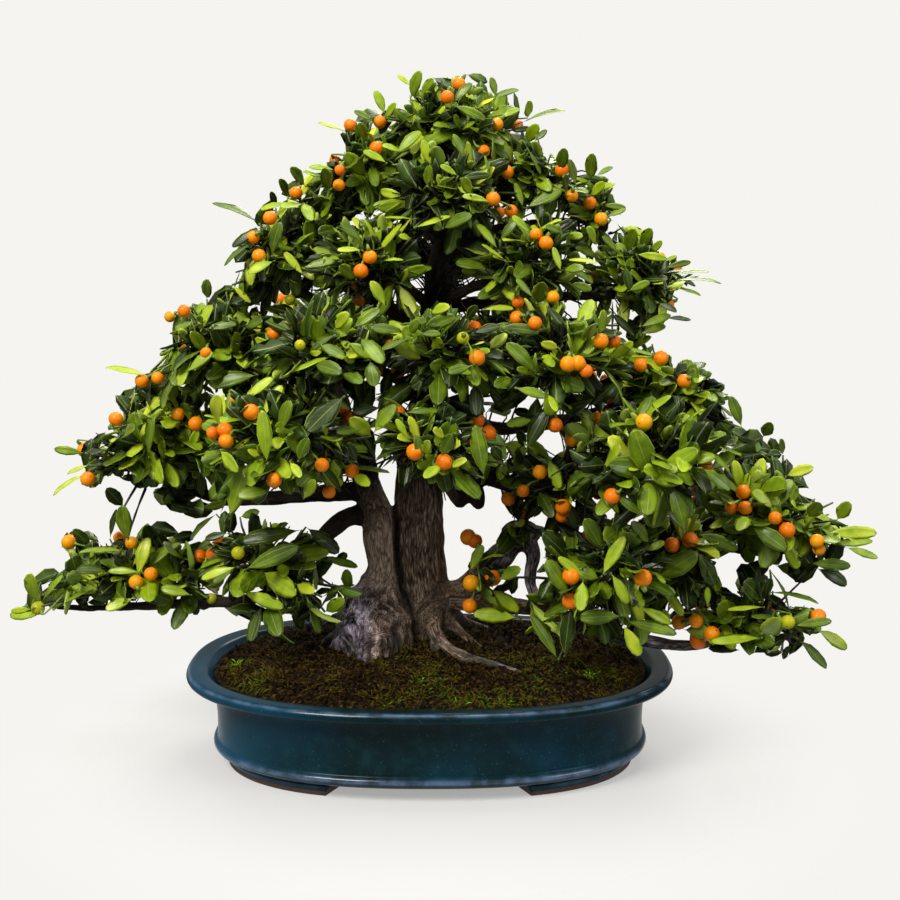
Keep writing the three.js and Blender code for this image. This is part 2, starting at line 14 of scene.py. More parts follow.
import bpy
import numpy as np
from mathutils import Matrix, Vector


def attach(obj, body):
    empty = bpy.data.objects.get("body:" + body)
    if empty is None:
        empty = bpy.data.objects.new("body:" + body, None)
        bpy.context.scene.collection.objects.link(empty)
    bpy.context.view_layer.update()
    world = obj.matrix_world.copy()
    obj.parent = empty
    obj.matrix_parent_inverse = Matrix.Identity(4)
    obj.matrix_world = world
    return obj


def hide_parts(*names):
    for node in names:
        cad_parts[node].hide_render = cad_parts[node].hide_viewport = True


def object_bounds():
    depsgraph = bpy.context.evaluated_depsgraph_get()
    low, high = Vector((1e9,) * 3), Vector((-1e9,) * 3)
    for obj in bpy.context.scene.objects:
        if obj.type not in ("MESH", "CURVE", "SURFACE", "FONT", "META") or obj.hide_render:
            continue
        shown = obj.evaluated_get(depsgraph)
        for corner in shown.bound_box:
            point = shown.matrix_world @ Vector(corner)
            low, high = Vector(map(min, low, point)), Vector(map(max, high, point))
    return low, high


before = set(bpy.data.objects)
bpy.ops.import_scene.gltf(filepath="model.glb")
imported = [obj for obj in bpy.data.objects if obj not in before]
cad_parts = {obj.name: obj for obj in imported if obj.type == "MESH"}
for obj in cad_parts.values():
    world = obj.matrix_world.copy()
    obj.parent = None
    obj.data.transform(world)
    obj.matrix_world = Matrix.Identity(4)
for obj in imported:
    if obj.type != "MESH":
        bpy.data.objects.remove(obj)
CAD_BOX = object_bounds()

log = logging.getLogger("orange_bonsai")

MM = 0.001
GOLDEN_ANGLE = math.pi * (3 - math.sqrt(5))
UP = np.array([0.0, 0.0, 1.0])
PART_SIZE = 4000  # places that are measured against all limbs at once
Socket = bpy.types.NodeSocket


class Seed(IntEnum):
    """Starts of the random sequences and of the noises, so that each run gives the same tree."""

    SOIL_LUMPS = 5
    MOSS_PATCHES = 9
    MOSS_CUSHIONS = 12
    LIMB_SWAY = 31
    LIMB_SWELL = 33
    MOSS = 41
    BARK_WARP = 61  # and the two after it
    BARK_PLATES = 64
    BARK_GRAIN = 65
    BURL_FOLDS = 66
    BARK_LUMPS = 67
    BURL_STRINGS = 68
    FRUITS = 77
    SPURS = 88
    PATCH_LEAVES = 404
    FRUIT_SIZES = 500  # plus the length of the spray's name
    WHOLE_LEAVES = 515
    SHOOTS = 900  # plus the number of the spray
    TWIGS = 1300  # plus the number of the spray


# Colours, nodes and small maths


def linear(colour: str) -> tuple[float, float, float, float]:
    """Turns an sRGB hex colour to linear light.

    Each channel c is c / 12.92 below 0.04045, and ((c + 0.055) / 1.055) to the power 2.4 above it.

    Args:
        colour: six hex digits after a hash sign.

    Returns:
        Red, green, blue and an alpha of 1.
    """
    channels = [int(colour[start:start + 2], 16) / 255 for start in (1, 3, 5)]
    red, green, blue = (c / 12.92 if c <= 0.04045 else ((c + 0.055) / 1.055) ** 2.4 for c in channels)
    return red, green, blue, 1.0


def unit(vectors: np.ndarray) -> np.ndarray:
    """Vectors of length 1 in the same directions, along the last axis."""
    return vectors / np.maximum(np.linalg.norm(vectors, axis=-1, keepdims=True), 1e-9)


def smooth_step(low: float, high: float, value: np.ndarray) -> np.ndarray:
    """Rises from 0 at low to 1 at high as 3 t squared minus 2 t cubed."""
    share = np.clip((value - low) / (high - low), 0, 1)
    return share * share * (3 - 2 * share)


def across_of(forward: np.ndarray, normal: np.ndarray) -> tuple[np.ndarray, np.ndarray]:
    """Squares a rough normal to a forward direction.

    Args:
        forward: unit directions, one a row.
        normal: rough normals, one a row.

    Returns:
        The directions across, forward x normal, and the squared normals.
    """
    across = unit(np.cross(forward, normal))
    return across, np.cross(across, forward)


@dataclass(frozen=True)
class Noise:
    """Value noise: random numbers on the whole points of a lattice, joined smoothly between them."""

    seed: int
    cells: int = 4096

    def value(self, points: np.ndarray) -> np.ndarray:
        """Noise from 0 to 1: the mean of a cell's eight corners, weighted by 3 t squared minus 2 t cubed.

        Args:
            points: places in lattice units, one a row.

        Returns:
            One value for each place.
        """
        cell = np.floor(points).astype(np.int64)
        part = smooth_step(0, 1, points - cell)
        table = np.random.default_rng(self.seed).random(self.cells)
        total = np.zeros(len(points))
        for corner in product((0, 1), repeat=3):
            offset = np.array(corner)
            key = (cell + offset) @ np.array([73856093, 19349663, 83492791])
            weight = np.prod(np.where(offset, part, 1 - part), axis=1)
            total += weight * table[(key ^ (key >> 13)) & (self.cells - 1)]
        return total

    def on_plan(self, points: np.ndarray, size: float, octaves: int = 3) -> np.ndarray:
        """Fractal noise over places in plan, with lumps about a size in mm apart."""
        return self.fractal(np.column_stack([points[:, :2] / size, np.zeros(len(points))]), octaves)

    def fractal(self, points: np.ndarray, octaves: int = 3) -> np.ndarray:
        """Sum of noises, each at twice the frequency and half the size of the one before, from 0 to 1."""
        sizes = 0.5 ** np.arange(octaves)
        layers = [size * self.value(points * 2 ** octave + 17.3 * octave)
                  for octave, size in enumerate(sizes)]
        return sum(layers) / sizes.sum()


# Meshes


@dataclass
class Shell:
    """Vertices, faces and per-vertex values that are gathered for one piece."""

    points: list[np.ndarray] = field(default_factory=list)
    faces: list[np.ndarray] = field(default_factory=list)
    slots: list[np.ndarray] = field(default_factory=list)
    values: list[dict[str, np.ndarray]] = field(default_factory=list)
    count: int = 0

    def add(self, points: np.ndarray, faces: np.ndarray, slots: np.ndarray | int = 0,
            **values: np.ndarray) -> None:
        """Adds a surface.

        Args:
            points: its vertices in mm, one a row.
            faces: four vertex numbers a row. A triangle has its last number twice.
            slots: material slot of all faces, or of each.
            values: further values, one for each vertex.
        """
        self.points.append(points)
        self.faces.append(faces + self.count)
        self.slots.append(np.broadcast_to(slots, len(faces)))
        self.values.append({name: np.broadcast_to(value, len(points)) for name, value in values.items()})
        self.count += len(points)

    def piece(self, name: str, materials: list[bpy.types.Material]) -> bpy.types.Object:
        """Makes the Blender object of all that was added.

        Args:
            name: name of the piece.
            materials: its material slots.

        Returns:
            A smooth-shaded object at the origin.
        """
        faces = np.concatenate(self.faces)
        kept = np.ones(faces.shape, bool)
        kept[:, 3] = faces[:, 3] != faces[:, 2]
        corners = faces[kept]
        totals = kept.sum(1)
        points = np.concatenate(self.points) * MM
        mesh = bpy.data.meshes.new(name)
        mesh.vertices.add(len(points))
        mesh.vertices.foreach_set("co", points.astype(np.float32).ravel())
        mesh.loops.add(len(corners))
        mesh.loops.foreach_set("vertex_index", corners.astype(np.int32))
        mesh.polygons.add(len(faces))
        mesh.polygons.foreach_set("loop_start",
                                  np.concatenate([[0], np.cumsum(totals)[:-1]]).astype(np.int32))
        mesh.polygons.foreach_set("material_index", np.concatenate(self.slots).astype(np.int32))
        mesh.polygons.foreach_set("use_smooth", np.ones(len(faces), bool))
        mesh.update(calc_edges=True)
        for key in sorted({key for values in self.values for key in values}):
            parts = [values.get(key, np.zeros(len(part))) for values, part in zip(self.values, self.points)]
            store(mesh, key, np.concatenate(parts))
        for material in materials:
            mesh.materials.append(material)
        piece = bpy.data.objects.new(name, mesh)
        bpy.context.scene.collection.objects.link(piece)
        return piece


def store(mesh: bpy.types.Mesh, name: str, values: np.ndarray) -> None:
    """Keeps one number, or one vector, for each vertex of a mesh as a named attribute."""
    kind, key = ("FLOAT", "value") if values.ndim == 1 else ("FLOAT_VECTOR", "vector")
    attribute = mesh.attributes.new(name, kind, "POINT")
    attribute.data.foreach_set(key, values.astype(np.float32).ravel())


def seat(piece: bpy.types.Object, slot: str, *nodes: str) -> None:
    """Lets a piece ride on the tree's one body, in the place of some nodes. Its slot is not used."""
    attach(piece, "root")
    if nodes:
        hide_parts(*nodes)
    triangles = int(sum(len(face.vertices) - 2 for face in piece.data.polygons))
    log.info("%s: %d triangles, stands for %s", piece.name, triangles, ", ".join(nodes) or "no node")


def grid_faces(rows: int, columns: int) -> np.ndarray:
    """Faces between the rows of a grid of vertices, closed round each row.

    Args:
        rows: number of rows.
        columns: vertices in each row.

    Returns:
        Four vertex numbers for each face.
    """
    row, column = np.meshgrid(np.arange(rows - 1), np.arange(columns), indexing="ij")
    following = (column + 1) % columns
    first = row * columns
    quads = [first + column, first + following, first + columns + following, first + columns + column]
    return np.stack(quads, axis=-1).reshape(-1, 4)


def capped_faces(rows: int, columns: int) -> np.ndarray:
    """Faces of a closed grid whose two ends are drawn together in the two vertices after it."""
    column = np.arange(columns)
    following = (column + 1) % columns
    first, last = rows * columns, rows * columns + 1
    top = (rows - 1) * columns
    start = np.stack([np.full(columns, first), following, column, column], axis=-1)
    end = np.stack([top + column, top + following, np.full(columns, last), np.full(columns, last)], axis=-1)
    return np.concatenate([grid_faces(rows, columns), start, end])


def copied_faces(faces: np.ndarray, size: int, count: int) -> np.ndarray:
    """Faces of as many like surfaces as count, each with its own run of vertices, whose number is size."""
    return (faces[None] + size * np.arange(count)[:, None, None]).reshape(-1, 4)


def outward(points: np.ndarray, faces: np.ndarray) -> np.ndarray:
    """Turns the faces of a closed surface so that its volume, the sum of a . (b x c) / 6, is positive."""
    a, b, c, d = (points[faces[:, corner]] for corner in range(4))
    volume = np.einsum("ij,ij->", a, np.cross(b, c)) + np.einsum("ij,ij->", a, np.cross(c, d))
    if volume > 0:
        return faces
    triangle = faces[:, 3] == faces[:, 2]
    turned = faces[:, ::-1].copy()
    turned[triangle] = faces[triangle][:, [0, 2, 1, 1]]
    return turned


def walked(line: np.ndarray) -> np.ndarray:
    """Distance along a line from its start to each of its places."""
    return np.concatenate([[0], np.cumsum(np.linalg.norm(np.diff(line, axis=0), axis=1))])


def in_parts(points: np.ndarray) -> list[np.ndarray]:
    """Places in groups of a few thousand, so that a table of their distances stays small."""
    return np.array_split(points, len(points) // PART_SIZE + 1)


def round_angles(count: int) -> np.ndarray:
    """Angles that are evenly spread round a circle."""
    return np.arange(count) / count * 2 * np.pi


def spokes(side: np.ndarray, other: np.ndarray, count: int) -> np.ndarray:
    """Directions evenly spread round circles, cos a . side + sin a . other, on a new axis before the last."""
    angle = round_angles(count)[:, None]
    return side[..., None, :] * np.cos(angle) + other[..., None, :] * np.sin(angle)


def smooth_run(run: np.ndarray, spacing: float) -> np.ndarray:
    """Smooth line through a run of points: between each two a cubic whose slopes follow their neighbours.

    Args:
        run: rows of numbers, of which the first three are a place in mm.
        spacing: distance from one point of the line to the next, about.

    Returns:
        Rows of as many numbers, evenly spread between each two given points.
    """
    padded = np.concatenate([2 * run[:1] - run[1:2], run, 2 * run[-1:] - run[-2:-1]])
    parts = []
    for start in range(len(run) - 1):
        before, low, high, after = padded[start:start + 4]
        steps = max(2, round(np.linalg.norm((high - low)[:3]) / spacing))
        t = np.linspace(0, 1, steps, endpoint=False)[:, None]
        parts.append(0.5 * (2 * low + (high - before) * t + (2 * before - 5 * low + 4 * high - after) * t ** 2
                            + (3 * low - before - 3 * high + after) * t ** 3))
    return np.concatenate([*parts, run[-1:]])


def carried_frames(line: np.ndarray) -> tuple[np.ndarray, np.ndarray, np.ndarray]:
    """Directions along a line, and two across it that turn as little as they can on the way.

    Args:
        line: places, one a row.

    Returns:
        Unit tangents, and the two unit directions across.
    """
    tangent = unit(np.gradient(line, axis=0))
    side = np.empty_like(line)
    current = np.array([0.0, -1.0, 0.0]) if abs(tangent[0][1]) < 0.9 else np.array([1.0, 0.0, 0.0])
    for index, direction in enumerate(tangent):
        current = unit(current - direction * (current @ direction))
        side[index] = current
    return tangent, side, np.cross(tangent, side)


def tube(line: np.ndarray, radius: np.ndarray, sides: int) -> tuple[np.ndarray, np.ndarray]:
    """Closed tube: at each place of a line a ring, centre + r (cos a . side + sin a . other side).

    Args:
        line: centres of the rings, one a row.
        radius: radius of each ring, or of each of its vertices.
        sides: vertices in a ring.

    Returns:
        Vertices and faces.
    """
    tangent, side, other = carried_frames(line)
    reach = radius[:, None, None] if radius.ndim == 1 else radius[:, :, None]
    rings = line[:, None] + spokes(side, other, sides) * reach
    ends = np.stack([line[0] - tangent[0] * reach[0].min() * 0.3,
                     line[-1] + tangent[-1] * reach[-1].min() * 0.5])
    points = np.concatenate([rings.reshape(-1, 3), ends])
    return points, outward(points, capped_faces(len(line), sides))


# Finishes


class Graph:
    """A node tree that is built from nothing. Its methods return output sockets, and its colours are hex."""

    def __init__(self, tree: bpy.types.NodeTree) -> None:
        """Empties a tree."""
        self.tree = tree
        tree.nodes.clear()

    def add(self, kind: str, settings: dict | None = None, inputs: dict | None = None) -> bpy.types.Node:
        """Adds a node with its settings, values and links.

        Args:
            kind: Blender's name of the node, after its first part, ShaderNode.
            settings: values of the node's own properties.
            inputs: for each input's name or number, a value, a hex colour, or the socket linked to it.

        Returns:
            The new node.
        """
        node = self.tree.nodes.new("ShaderNode" + kind)
        for name, value in (settings or {}).items():
            setattr(node, name, value)
        for name, value in (inputs or {}).items():
            if isinstance(value, Socket):
                self.tree.links.new(value, node.inputs[name])
            else:
                node.inputs[name].default_value = linear(value) if isinstance(value, str) else value
        return node

    def ramp(self, value: Socket, *stops: tuple[float, str]) -> Socket:
        """Colour of a ramp at a value. Its stops are places and colours, in order."""
        node = self.add("ValToRGB", inputs={0: value})
        elements = node.color_ramp.elements
        for index, (place, colour) in enumerate(stops):
            element = elements[index] if index < 2 else elements.new(place)
            element.position = place
            element.color = linear(colour)
        return node.outputs[0]

    def attribute(self, name: str, output: str = "Fac") -> Socket:
        """A piece's own named value."""
        return self.add("Attribute", {"attribute_name": name}).outputs[output]

    def place(self) -> Socket:
        """The object's own coordinates in metres."""
        return self.add("TexCoord").outputs["Object"]

    def maths(self, operation: str, first: object, second: object = 0.0) -> Socket:
        """Result of an operation on one or two numbers or sockets."""
        return self.add("Math", {"operation": operation}, {0: first, 1: second}).outputs[0]

    def times(self, first: object, second: object) -> Socket:
        """Product of two numbers or sockets."""
        return self.maths("MULTIPLY", first, second)

    def plus(self, first: object, second: object) -> Socket:
        """Sum of two numbers or sockets."""
        return self.maths("ADD", first, second)

    def vectors(self, operation: str, *values: object) -> Socket:
        """Result of an operation on vectors or sockets."""
        return self.add("VectorMath", {"operation": operation}, dict(enumerate(values))).outputs[0]

    def blend(self, share: object, low: object, high: object, how: str = "MIX") -> Socket:
        """Colour between two, each a socket or a hex colour."""
        return self.add("Mix", {"data_type": "RGBA", "blend_type": how},
                        {0: share, 6: low, 7: high}).outputs[2]

    def layered(self, colour: Socket, *layers: tuple[Socket, float, str]) -> Socket:
        """A colour under thin layers. Each has where it lies, how much it covers there and its colour."""
        for where, amount, over in layers:
            colour = self.blend(self.times(where, amount), colour, over)
        return colour

    def scaled(self, value: Socket, low: float, high: float, to_low: object = 0.0,
               to_high: object = 1.0) -> Socket:
        """A value moved from one range to another, smoothly and kept inside it."""
        return self.add("MapRange", {"interpolation_type": "SMOOTHSTEP"}, {
            "Value": value, "From Min": low, "From Max": high, "To Min": to_low,
            "To Max": to_high}).outputs[0]

    def noise(self, size_mm: float, detail: float = 3.0, place: Socket | None = None,
              output: str = "Fac") -> Socket:
        """Noise whose lumps are about one real size apart.

        Args:
            size_mm: distance between lumps in mm.
            detail: number of finer layers.
            place: coordinates in metres, which are the object's own where none are given.
            output: which of the texture's outputs to return.

        Returns:
            The noise's socket.
        """
        values = {"Vector": place or self.place(), "Scale": 1 / (size_mm * MM), "Detail": detail}
        return self.add("TexNoise", inputs=values).outputs[output]

    def cells(self, size_mm: float, place: Socket, feature: str = "F1") -> Socket:
        """Distance to the middle of the nearest cell, or to its edge, where cells have a size in mm."""
        values = {"Vector": place, "Scale": 1 / (size_mm * MM)}
        return self.add("TexVoronoi", {"feature": feature}, values).outputs["Distance"]


class Finish(Graph):
    """A new material with one principled shader."""

    def __init__(self, name: str, **constants: float) -> None:
        """Makes the material and its shader.

        Args:
            name: name of the material.
            constants: values of the shader's inputs, with underscores for spaces.
        """
        self.material = bpy.data.materials.new(name)
        self.material.use_nodes = True
        super().__init__(self.material.node_tree)
        values = {key.replace("_", " "): value for key, value in constants.items()}
        self.shader = self.add("BsdfPrincipled", inputs=values)
        self.add("OutputMaterial", inputs={"Surface": self.shader.outputs["BSDF"]})

    def feed(self, name: str, value: Socket) -> None:
        """Leads a value into one of the shader's inputs."""
        self.tree.links.new(value, self.shader.inputs[name])

    def colour(self, value: Socket) -> None:
        """Leads a colour into the shader."""
        self.feed("Base Color", value)

    def bump(self, height: Socket, depth_mm: float, strength: float = 1.0) -> None:
        """Leads a height into the shader's normal, with its full depth in mm."""
        values = {"Height": height, "Distance": depth_mm * MM, "Strength": strength}
        self.feed("Normal", self.add("Bump", inputs=values).outputs["Normal"])


@dataclass(frozen=True)
class LeafSkin:
    """Citrus leaf: a waxy cuticle over a green blade, with a pale midrib and a thin pale margin."""

    roughness: float = 0.36  # wax: clear, soft highlights
    coat: float = 0.12
    midrib_width: float = 0.075  # shares of the half blade
    margin_width: float = 0.12
    veins: float = 8.0  # side veins along the blade
    vein_slant: float = 2.2

    def material(self) -> bpy.types.Material:
        """Makes the upper skin. The value "tint" runs from old inner leaves, 0, to young ones, 1, and also
        carries painted shade and light.
        """
        skin = Finish("citrus leaf upper skin", Roughness=self.roughness, Coat_Weight=self.coat,
                      Coat_Roughness=0.12, IOR=1.35)
        across = skin.maths("ABSOLUTE", skin.attribute("across"))
        tint = skin.plus(skin.attribute("tint"), skin.scaled(skin.noise(14, 2.0), 0.3, 0.7, -0.08, 0.08))
        blade = skin.ramp(tint, (0.0, "#0e1604"), (0.25, "#273808"), (0.5, "#52690a"), (0.75, "#86a012"),
                          (1.0, "#c0cc34"))
        slant = skin.maths("SUBTRACT", skin.times(skin.attribute("along"), self.veins),
                           skin.times(across, self.vein_slant))
        vein = skin.scaled(skin.maths("PINGPONG", slant, 0.5), 0.36, 0.5)
        midrib = skin.scaled(across, self.midrib_width, self.midrib_width * 0.35)
        margin = skin.scaled(across, 1 - self.margin_width, 1.0)
        skin.colour(skin.layered(blade, (vein, 0.03, "#c3d764"), (midrib, 0.18, "#c4d970"),
                                 (margin, 0.6, "#b4cf4e")))
        raised = skin.maths("MAXIMUM", midrib, skin.times(vein, 0.4))
        skin.bump(skin.maths("SUBTRACT", 1.0, raised), 0.15, 0.35)
        return skin.material


@dataclass(frozen=True)
class LeafUnderside:
    """Underside of a citrus leaf: matt, paler and greyer than its upper side, with a raised midrib, and
    brighter as painted light shining through.
    """

    roughness: float = 0.55

    def material(self) -> bpy.types.Material:
        """Makes the underside's material."""
        skin = Finish("citrus leaf underside", Roughness=self.roughness, IOR=1.42)
        # Paler towards lime, partly as a real underside and partly as painted light shining through.
        blade = skin.ramp(skin.attribute("tint"), (0.0, "#18240c"), (0.5, "#5f7f28"), (1.0, "#b4c84a"))
        midrib = skin.scaled(skin.maths("ABSOLUTE", skin.attribute("across")), 0.12, 0.04)
        skin.colour(skin.layered(blade, (midrib, 0.45, "#b3c97e")))
        skin.bump(midrib, 0.3, 0.6)
        return skin.material


@dataclass(frozen=True)
class FruitSkin:
    """Orange peel: bright, a little glossy, pitted by oil glands, with a dark point at the flower end."""

    gland_mm: float = 1.3  # wider apart than the real 0.8 mm, so that they show

    def material(self) -> bpy.types.Material:
        """Makes the peel: "ripe" runs from green, 0, to orange, 1, and "pole" from stalk to point."""
        peel = Finish("orange peel", Roughness=0.4, Coat_Weight=0.12, Coat_Roughness=0.12, IOR=1.3)
        ripe = peel.plus(peel.attribute("ripe"), peel.scaled(peel.noise(9, 1.0), 0.3, 0.7, -0.1, 0.1))
        skin = peel.ramp(ripe, (0.0, "#7f9c10"), (0.3, "#b8ac0c"), (0.6, "#ee9300"), (1.0, "#e67000"))
        point = peel.scaled(peel.attribute("pole"), 0.95, 0.99)
        peel.colour(peel.layered(skin, (point, 0.85, "#3a200c")))
        peel.bump(peel.cells(self.gland_mm, peel.place()), 0.12, 0.5)
        return peel.material


@dataclass(frozen=True)
class TwigBark:
    """Young shoot: green and smooth at its tip, brown and dull where it has turned to wood."""

    roughness: float = 0.6

    def material(self) -> bpy.types.Material:
        """Makes the shoot's material. The value "woody" runs from green, 0, to brown, 1."""
        bark = Finish("twig bark", Roughness=self.roughness)
        aged = bark.ramp(bark.attribute("woody"), (0.0, "#86a83c"), (0.3, "#4c5c22"), (0.6, "#241c12"),
                         (1.0, "#15100b"))
        flecks = bark.scaled(bark.noise(2.5, 2.0), 0.35, 0.7, 0.7, 1.15)
        bark.colour(bark.blend(1.0, aged, flecks, "MULTIPLY"))
        bark.bump(bark.noise(1.6, 2.0), 0.3, 0.5)
        return bark.material


@dataclass(frozen=True)
class TreeBark:
    """Old citrus bark: matt grey-brown plates between dark grooves, paler on the swollen base, with painted
    highlights and painted shade.
    """

    fibre_mm: float = 0.9
    plate_mm: float = 3.0  # width of a plate, which is nine times as long
    wrinkle_mm: float = 6.0  # width of a fold of the burl, which is more than twice as long

    def edges(self, bark: Finish, place: Socket, size_mm: float, wide: float, bend_mm: float) -> Socket:
        """Output socket that is 0 on the cracks between cells and 1 inside them.

        Args:
            bark: material that gets the nodes.
            place: coordinates in metres.
            size_mm: size of a cell.
            wide: distance from a crack, in cells, at which it ends.
            bend_mm: how far the cracks sway.

        Returns:
            The cracks' socket.
        """
        sway = bark.noise(size_mm * 3, 2.0, place, "Color")
        bend = bark.vectors("MULTIPLY_ADD", sway, (bend_mm * 2 * MM,) * 3, (-bend_mm * MM,) * 3)
        edges = bark.cells(size_mm, bark.vectors("ADD", place, bend), "DISTANCE_TO_EDGE")
        return bark.scaled(edges, 0.0, wide)

    def relief(self, bark: Finish, grain: Socket, burl: Socket) -> Socket:
        """Height of the bark from 0 to 1: plates and splits along the grain, and wrinkles on the burl.

        Args:
            bark: material that gets the nodes.
            grain: coordinates along the limbs.
            burl: share of the burl.

        Returns:
            The height's socket.
        """
        crack = self.edges(bark, grain, self.plate_mm, 0.16, 1.6)
        split = self.edges(bark, grain, self.plate_mm * 0.45, 0.2, 0.6)
        plates = bark.plus(bark.times(crack, 0.3), bark.times(split, 0.18))
        flow = bark.vectors("MULTIPLY", bark.place(), (1.0, 1.0, 0.42))
        wrinkle = self.edges(bark, flow, self.wrinkle_mm, 0.26, 6.0)
        cloud = bark.scaled(bark.noise(20, 3.0), 0.36, 0.62, -0.12, 0.24)
        pillows = bark.plus(bark.times(wrinkle, 0.1), cloud)
        fine = bark.add("Mix", inputs={0: burl, 2: plates, 3: pillows}).outputs[0]
        grown = bark.times(bark.attribute("ridge"), 0.62)
        fibre = bark.scaled(bark.noise(self.fibre_mm, 4.0, grain), 0.36, 0.64, -0.2, 0.16)
        return bark.plus(bark.plus(grown, fine), fibre)

    def material(self) -> bpy.types.Material:
        """Makes the bark, from the values that its pieces keep at each vertex."""
        bark = Finish("old citrus bark", IOR=1.4)
        burl = bark.attribute("burl")
        grain = bark.attribute("grain", "Vector")
        ridge = self.relief(bark, grain, burl)
        blotch = bark.noise(9, 3.0, grain)
        old = bark.ramp(ridge, (0.0, "#0a0705"), (0.3, "#2a1f16"), (0.6, "#5a4836"), (0.85, "#7d6b58"),
                        (1.0, "#a09080"))
        brown = bark.ramp(ridge, (0.0, "#0a0705"), (0.3, "#221812"), (0.5, "#4e3d32"), (0.75, "#8a776a"),
                          (1.0, "#c8b8ab"))
        silver = bark.ramp(ridge, (0.0, "#0e0a0b"), (0.3, "#30282c"), (0.5, "#685e68"), (0.75, "#a296a6"),
                           (1.0, "#dad2e4"))
        skin = bark.ramp(ridge, (0.0, "#3f3028"), (0.5, "#86705f"), (1.0, "#c4ac98"))
        # The second trunk's smooth neck takes a paler skin, partly as a painted highlight.
        clear = bark.blend(bark.attribute("smooth"), old, skin)
        # Partly a painted highlight: the burl's left flank and the wood right of x = 40 mm take the paler
        # lavender-grey ramp.
        swollen = bark.blend(bark.attribute("lilac"), brown, silver)
        wood = bark.blend(burl, clear, swollen)
        # Painted shade: darker in the groove between the trunks, on the burl's low right side and under the
        # leaves.
        for name, shade in (("crease", "#1c1612"), ("aged", "#5c544c")):
            wood = bark.blend(bark.attribute(name), wood, shade, "MULTIPLY")
        for name, low, high, most, stain in (("rust", 0.42, 0.62, 0.6, "#6a4429"),
                                             ("damp", 0.45, 0.65, 0.7, "#2c3614")):
            share = bark.times(bark.attribute(name), bark.scaled(blotch, low, high, 0, most))
            wood = bark.blend(share, wood, stain)
        bark.colour(wood)
        bark.feed("Roughness", bark.scaled(burl, 0.0, 1.0, 0.8, 0.56))
        bark.bump(ridge, 1.3, 0.85)
        return bark.material


@dataclass(frozen=True)
class Glaze:
    """Stoneware glaze: a deep blue-green glass that thins to a pale blue where it runs off an edge, a
    paleness that is partly a painted highlight, with a painted light that makes its left end bluer.
    """

    roughness: float = 0.24

    def material(self) -> bpy.types.Material:
        """Makes the glaze: "edge" is 1 on the crests, where it is thin and partly painted as a highlight, and
        another value paints the left end bluer and paler as light from the left.
        """
        glaze = Finish("blue stoneware glaze", Roughness=self.roughness, Coat_Roughness=0.1, IOR=1.14)
        edge = glaze.attribute("edge")
        pool = glaze.noise(90, 3.0)
        cloud = glaze.noise(16, 4.0)
        deep = glaze.ramp(pool, (0.3, "#06171a"), (0.5, "#061f24"), (0.7, "#052a3a"))
        # Painted light: the left end is made bluer and paler, as if lit from the left.
        blue = glaze.times(glaze.attribute("pooled"), glaze.scaled(pool, 0.3, 0.7, 0.45, 1.0))
        # Thin glaze on the crests, paler partly for real and partly as a painted highlight.
        thin = glaze.times(edge, glaze.scaled(cloud, 0.35, 0.65, 0.1, 0.6))
        speck = glaze.scaled(glaze.noise(1.7, 1.0), 0.68, 0.78, 0, 0.4)
        tone = deep
        for share, over in ((blue, "#14425a"), (glaze.scaled(cloud, 0.45, 0.75, 0, 0.4), "#12383c"),
                            (thin, "#5c7396"), (speck, "#3f6a70")):
            tone = glaze.blend(share, tone, over)
        glaze.colour(tone)
        glaze.feed("Coat Weight", glaze.scaled(edge, 0.1, 0.9, 0.05, 0.75))
        glaze.bump(glaze.noise(22, 1.0), 0.5, 0.35)
        return glaze.material


@dataclass(frozen=True)
class Grit:
    """A matt, grainy finish whose grains have both their colour and their height from one noise."""

    name: str
    grain_mm: float
    detail: float
    stops: tuple[tuple[float, str], ...]
    depth_mm: float
    strength: float
    constants: tuple[tuple[str, float], ...]

    def material(self) -> bpy.types.Material:
        """Makes the material."""
        grit = Finish(self.name, **dict(self.constants))
        grain = grit.noise(self.grain_mm, self.detail)
        grit.colour(grit.ramp(grain, *self.stops))
        grit.bump(grain, self.depth_mm, self.strength)
        return grit.material


# Unglazed stoneware: dark brown, dry and slightly gritty where the pot stood in the kiln.
BARE_CLAY = Grit("bare stoneware", 1.4, 3.0,
                 ((0.3, "#241815"), (0.6, "#3a2822"), (0.85, "#5a4238")), 0.3, 0.6,
                 (("Roughness", 0.75),))

# Planting soil: damp, nearly black-brown crumbs.
EARTH = Grit("damp soil", 3.4, 5.0,
             ((0.34, "#060402"), (0.48, "#171006"), (0.6, "#3c2c0e"), (0.74, "#5a5218")),
             5.0, 1.0, (("Roughness", 0.95), ("IOR", 1.2)))


@dataclass(frozen=True)
class MossFibre:
    """Cushion moss: thin curled fibres, brown where dry, olive and green where fresh."""

    roughness: float = 0.7

    def material(self) -> bpy.types.Material:
        """Makes the moss: "fresh" runs from dry brown, 0, to bright green, 1; "raised" is 0 in hollows, which
        are painted darker as shade.
        """
        moss = Finish("moss fibre", Roughness=self.roughness, IOR=1.2)
        fresh = moss.ramp(moss.attribute("fresh"), (0.0, "#0e0903"), (0.25, "#35230a"), (0.45, "#55460f"),
                          (0.65, "#3c480b"), (0.82, "#4d7011"), (1.0, "#9cc626"))
        # Painted shade and light: each fibre darker towards its base, the hollows between cushions darker,
        # the cushions' tops paler.
        shade = moss.times(moss.scaled(moss.attribute("along"), 0.0, 0.7, 0.14, 1.0),
                           moss.scaled(moss.attribute("raised"), 0.0, 1.0, 0.3, 1.35))
        moss.colour(moss.blend(1.0, fresh, shade, "MULTIPLY"))
        moss.bump(moss.noise(1.0, 1.0), 0.2, 0.4)
        return moss.material


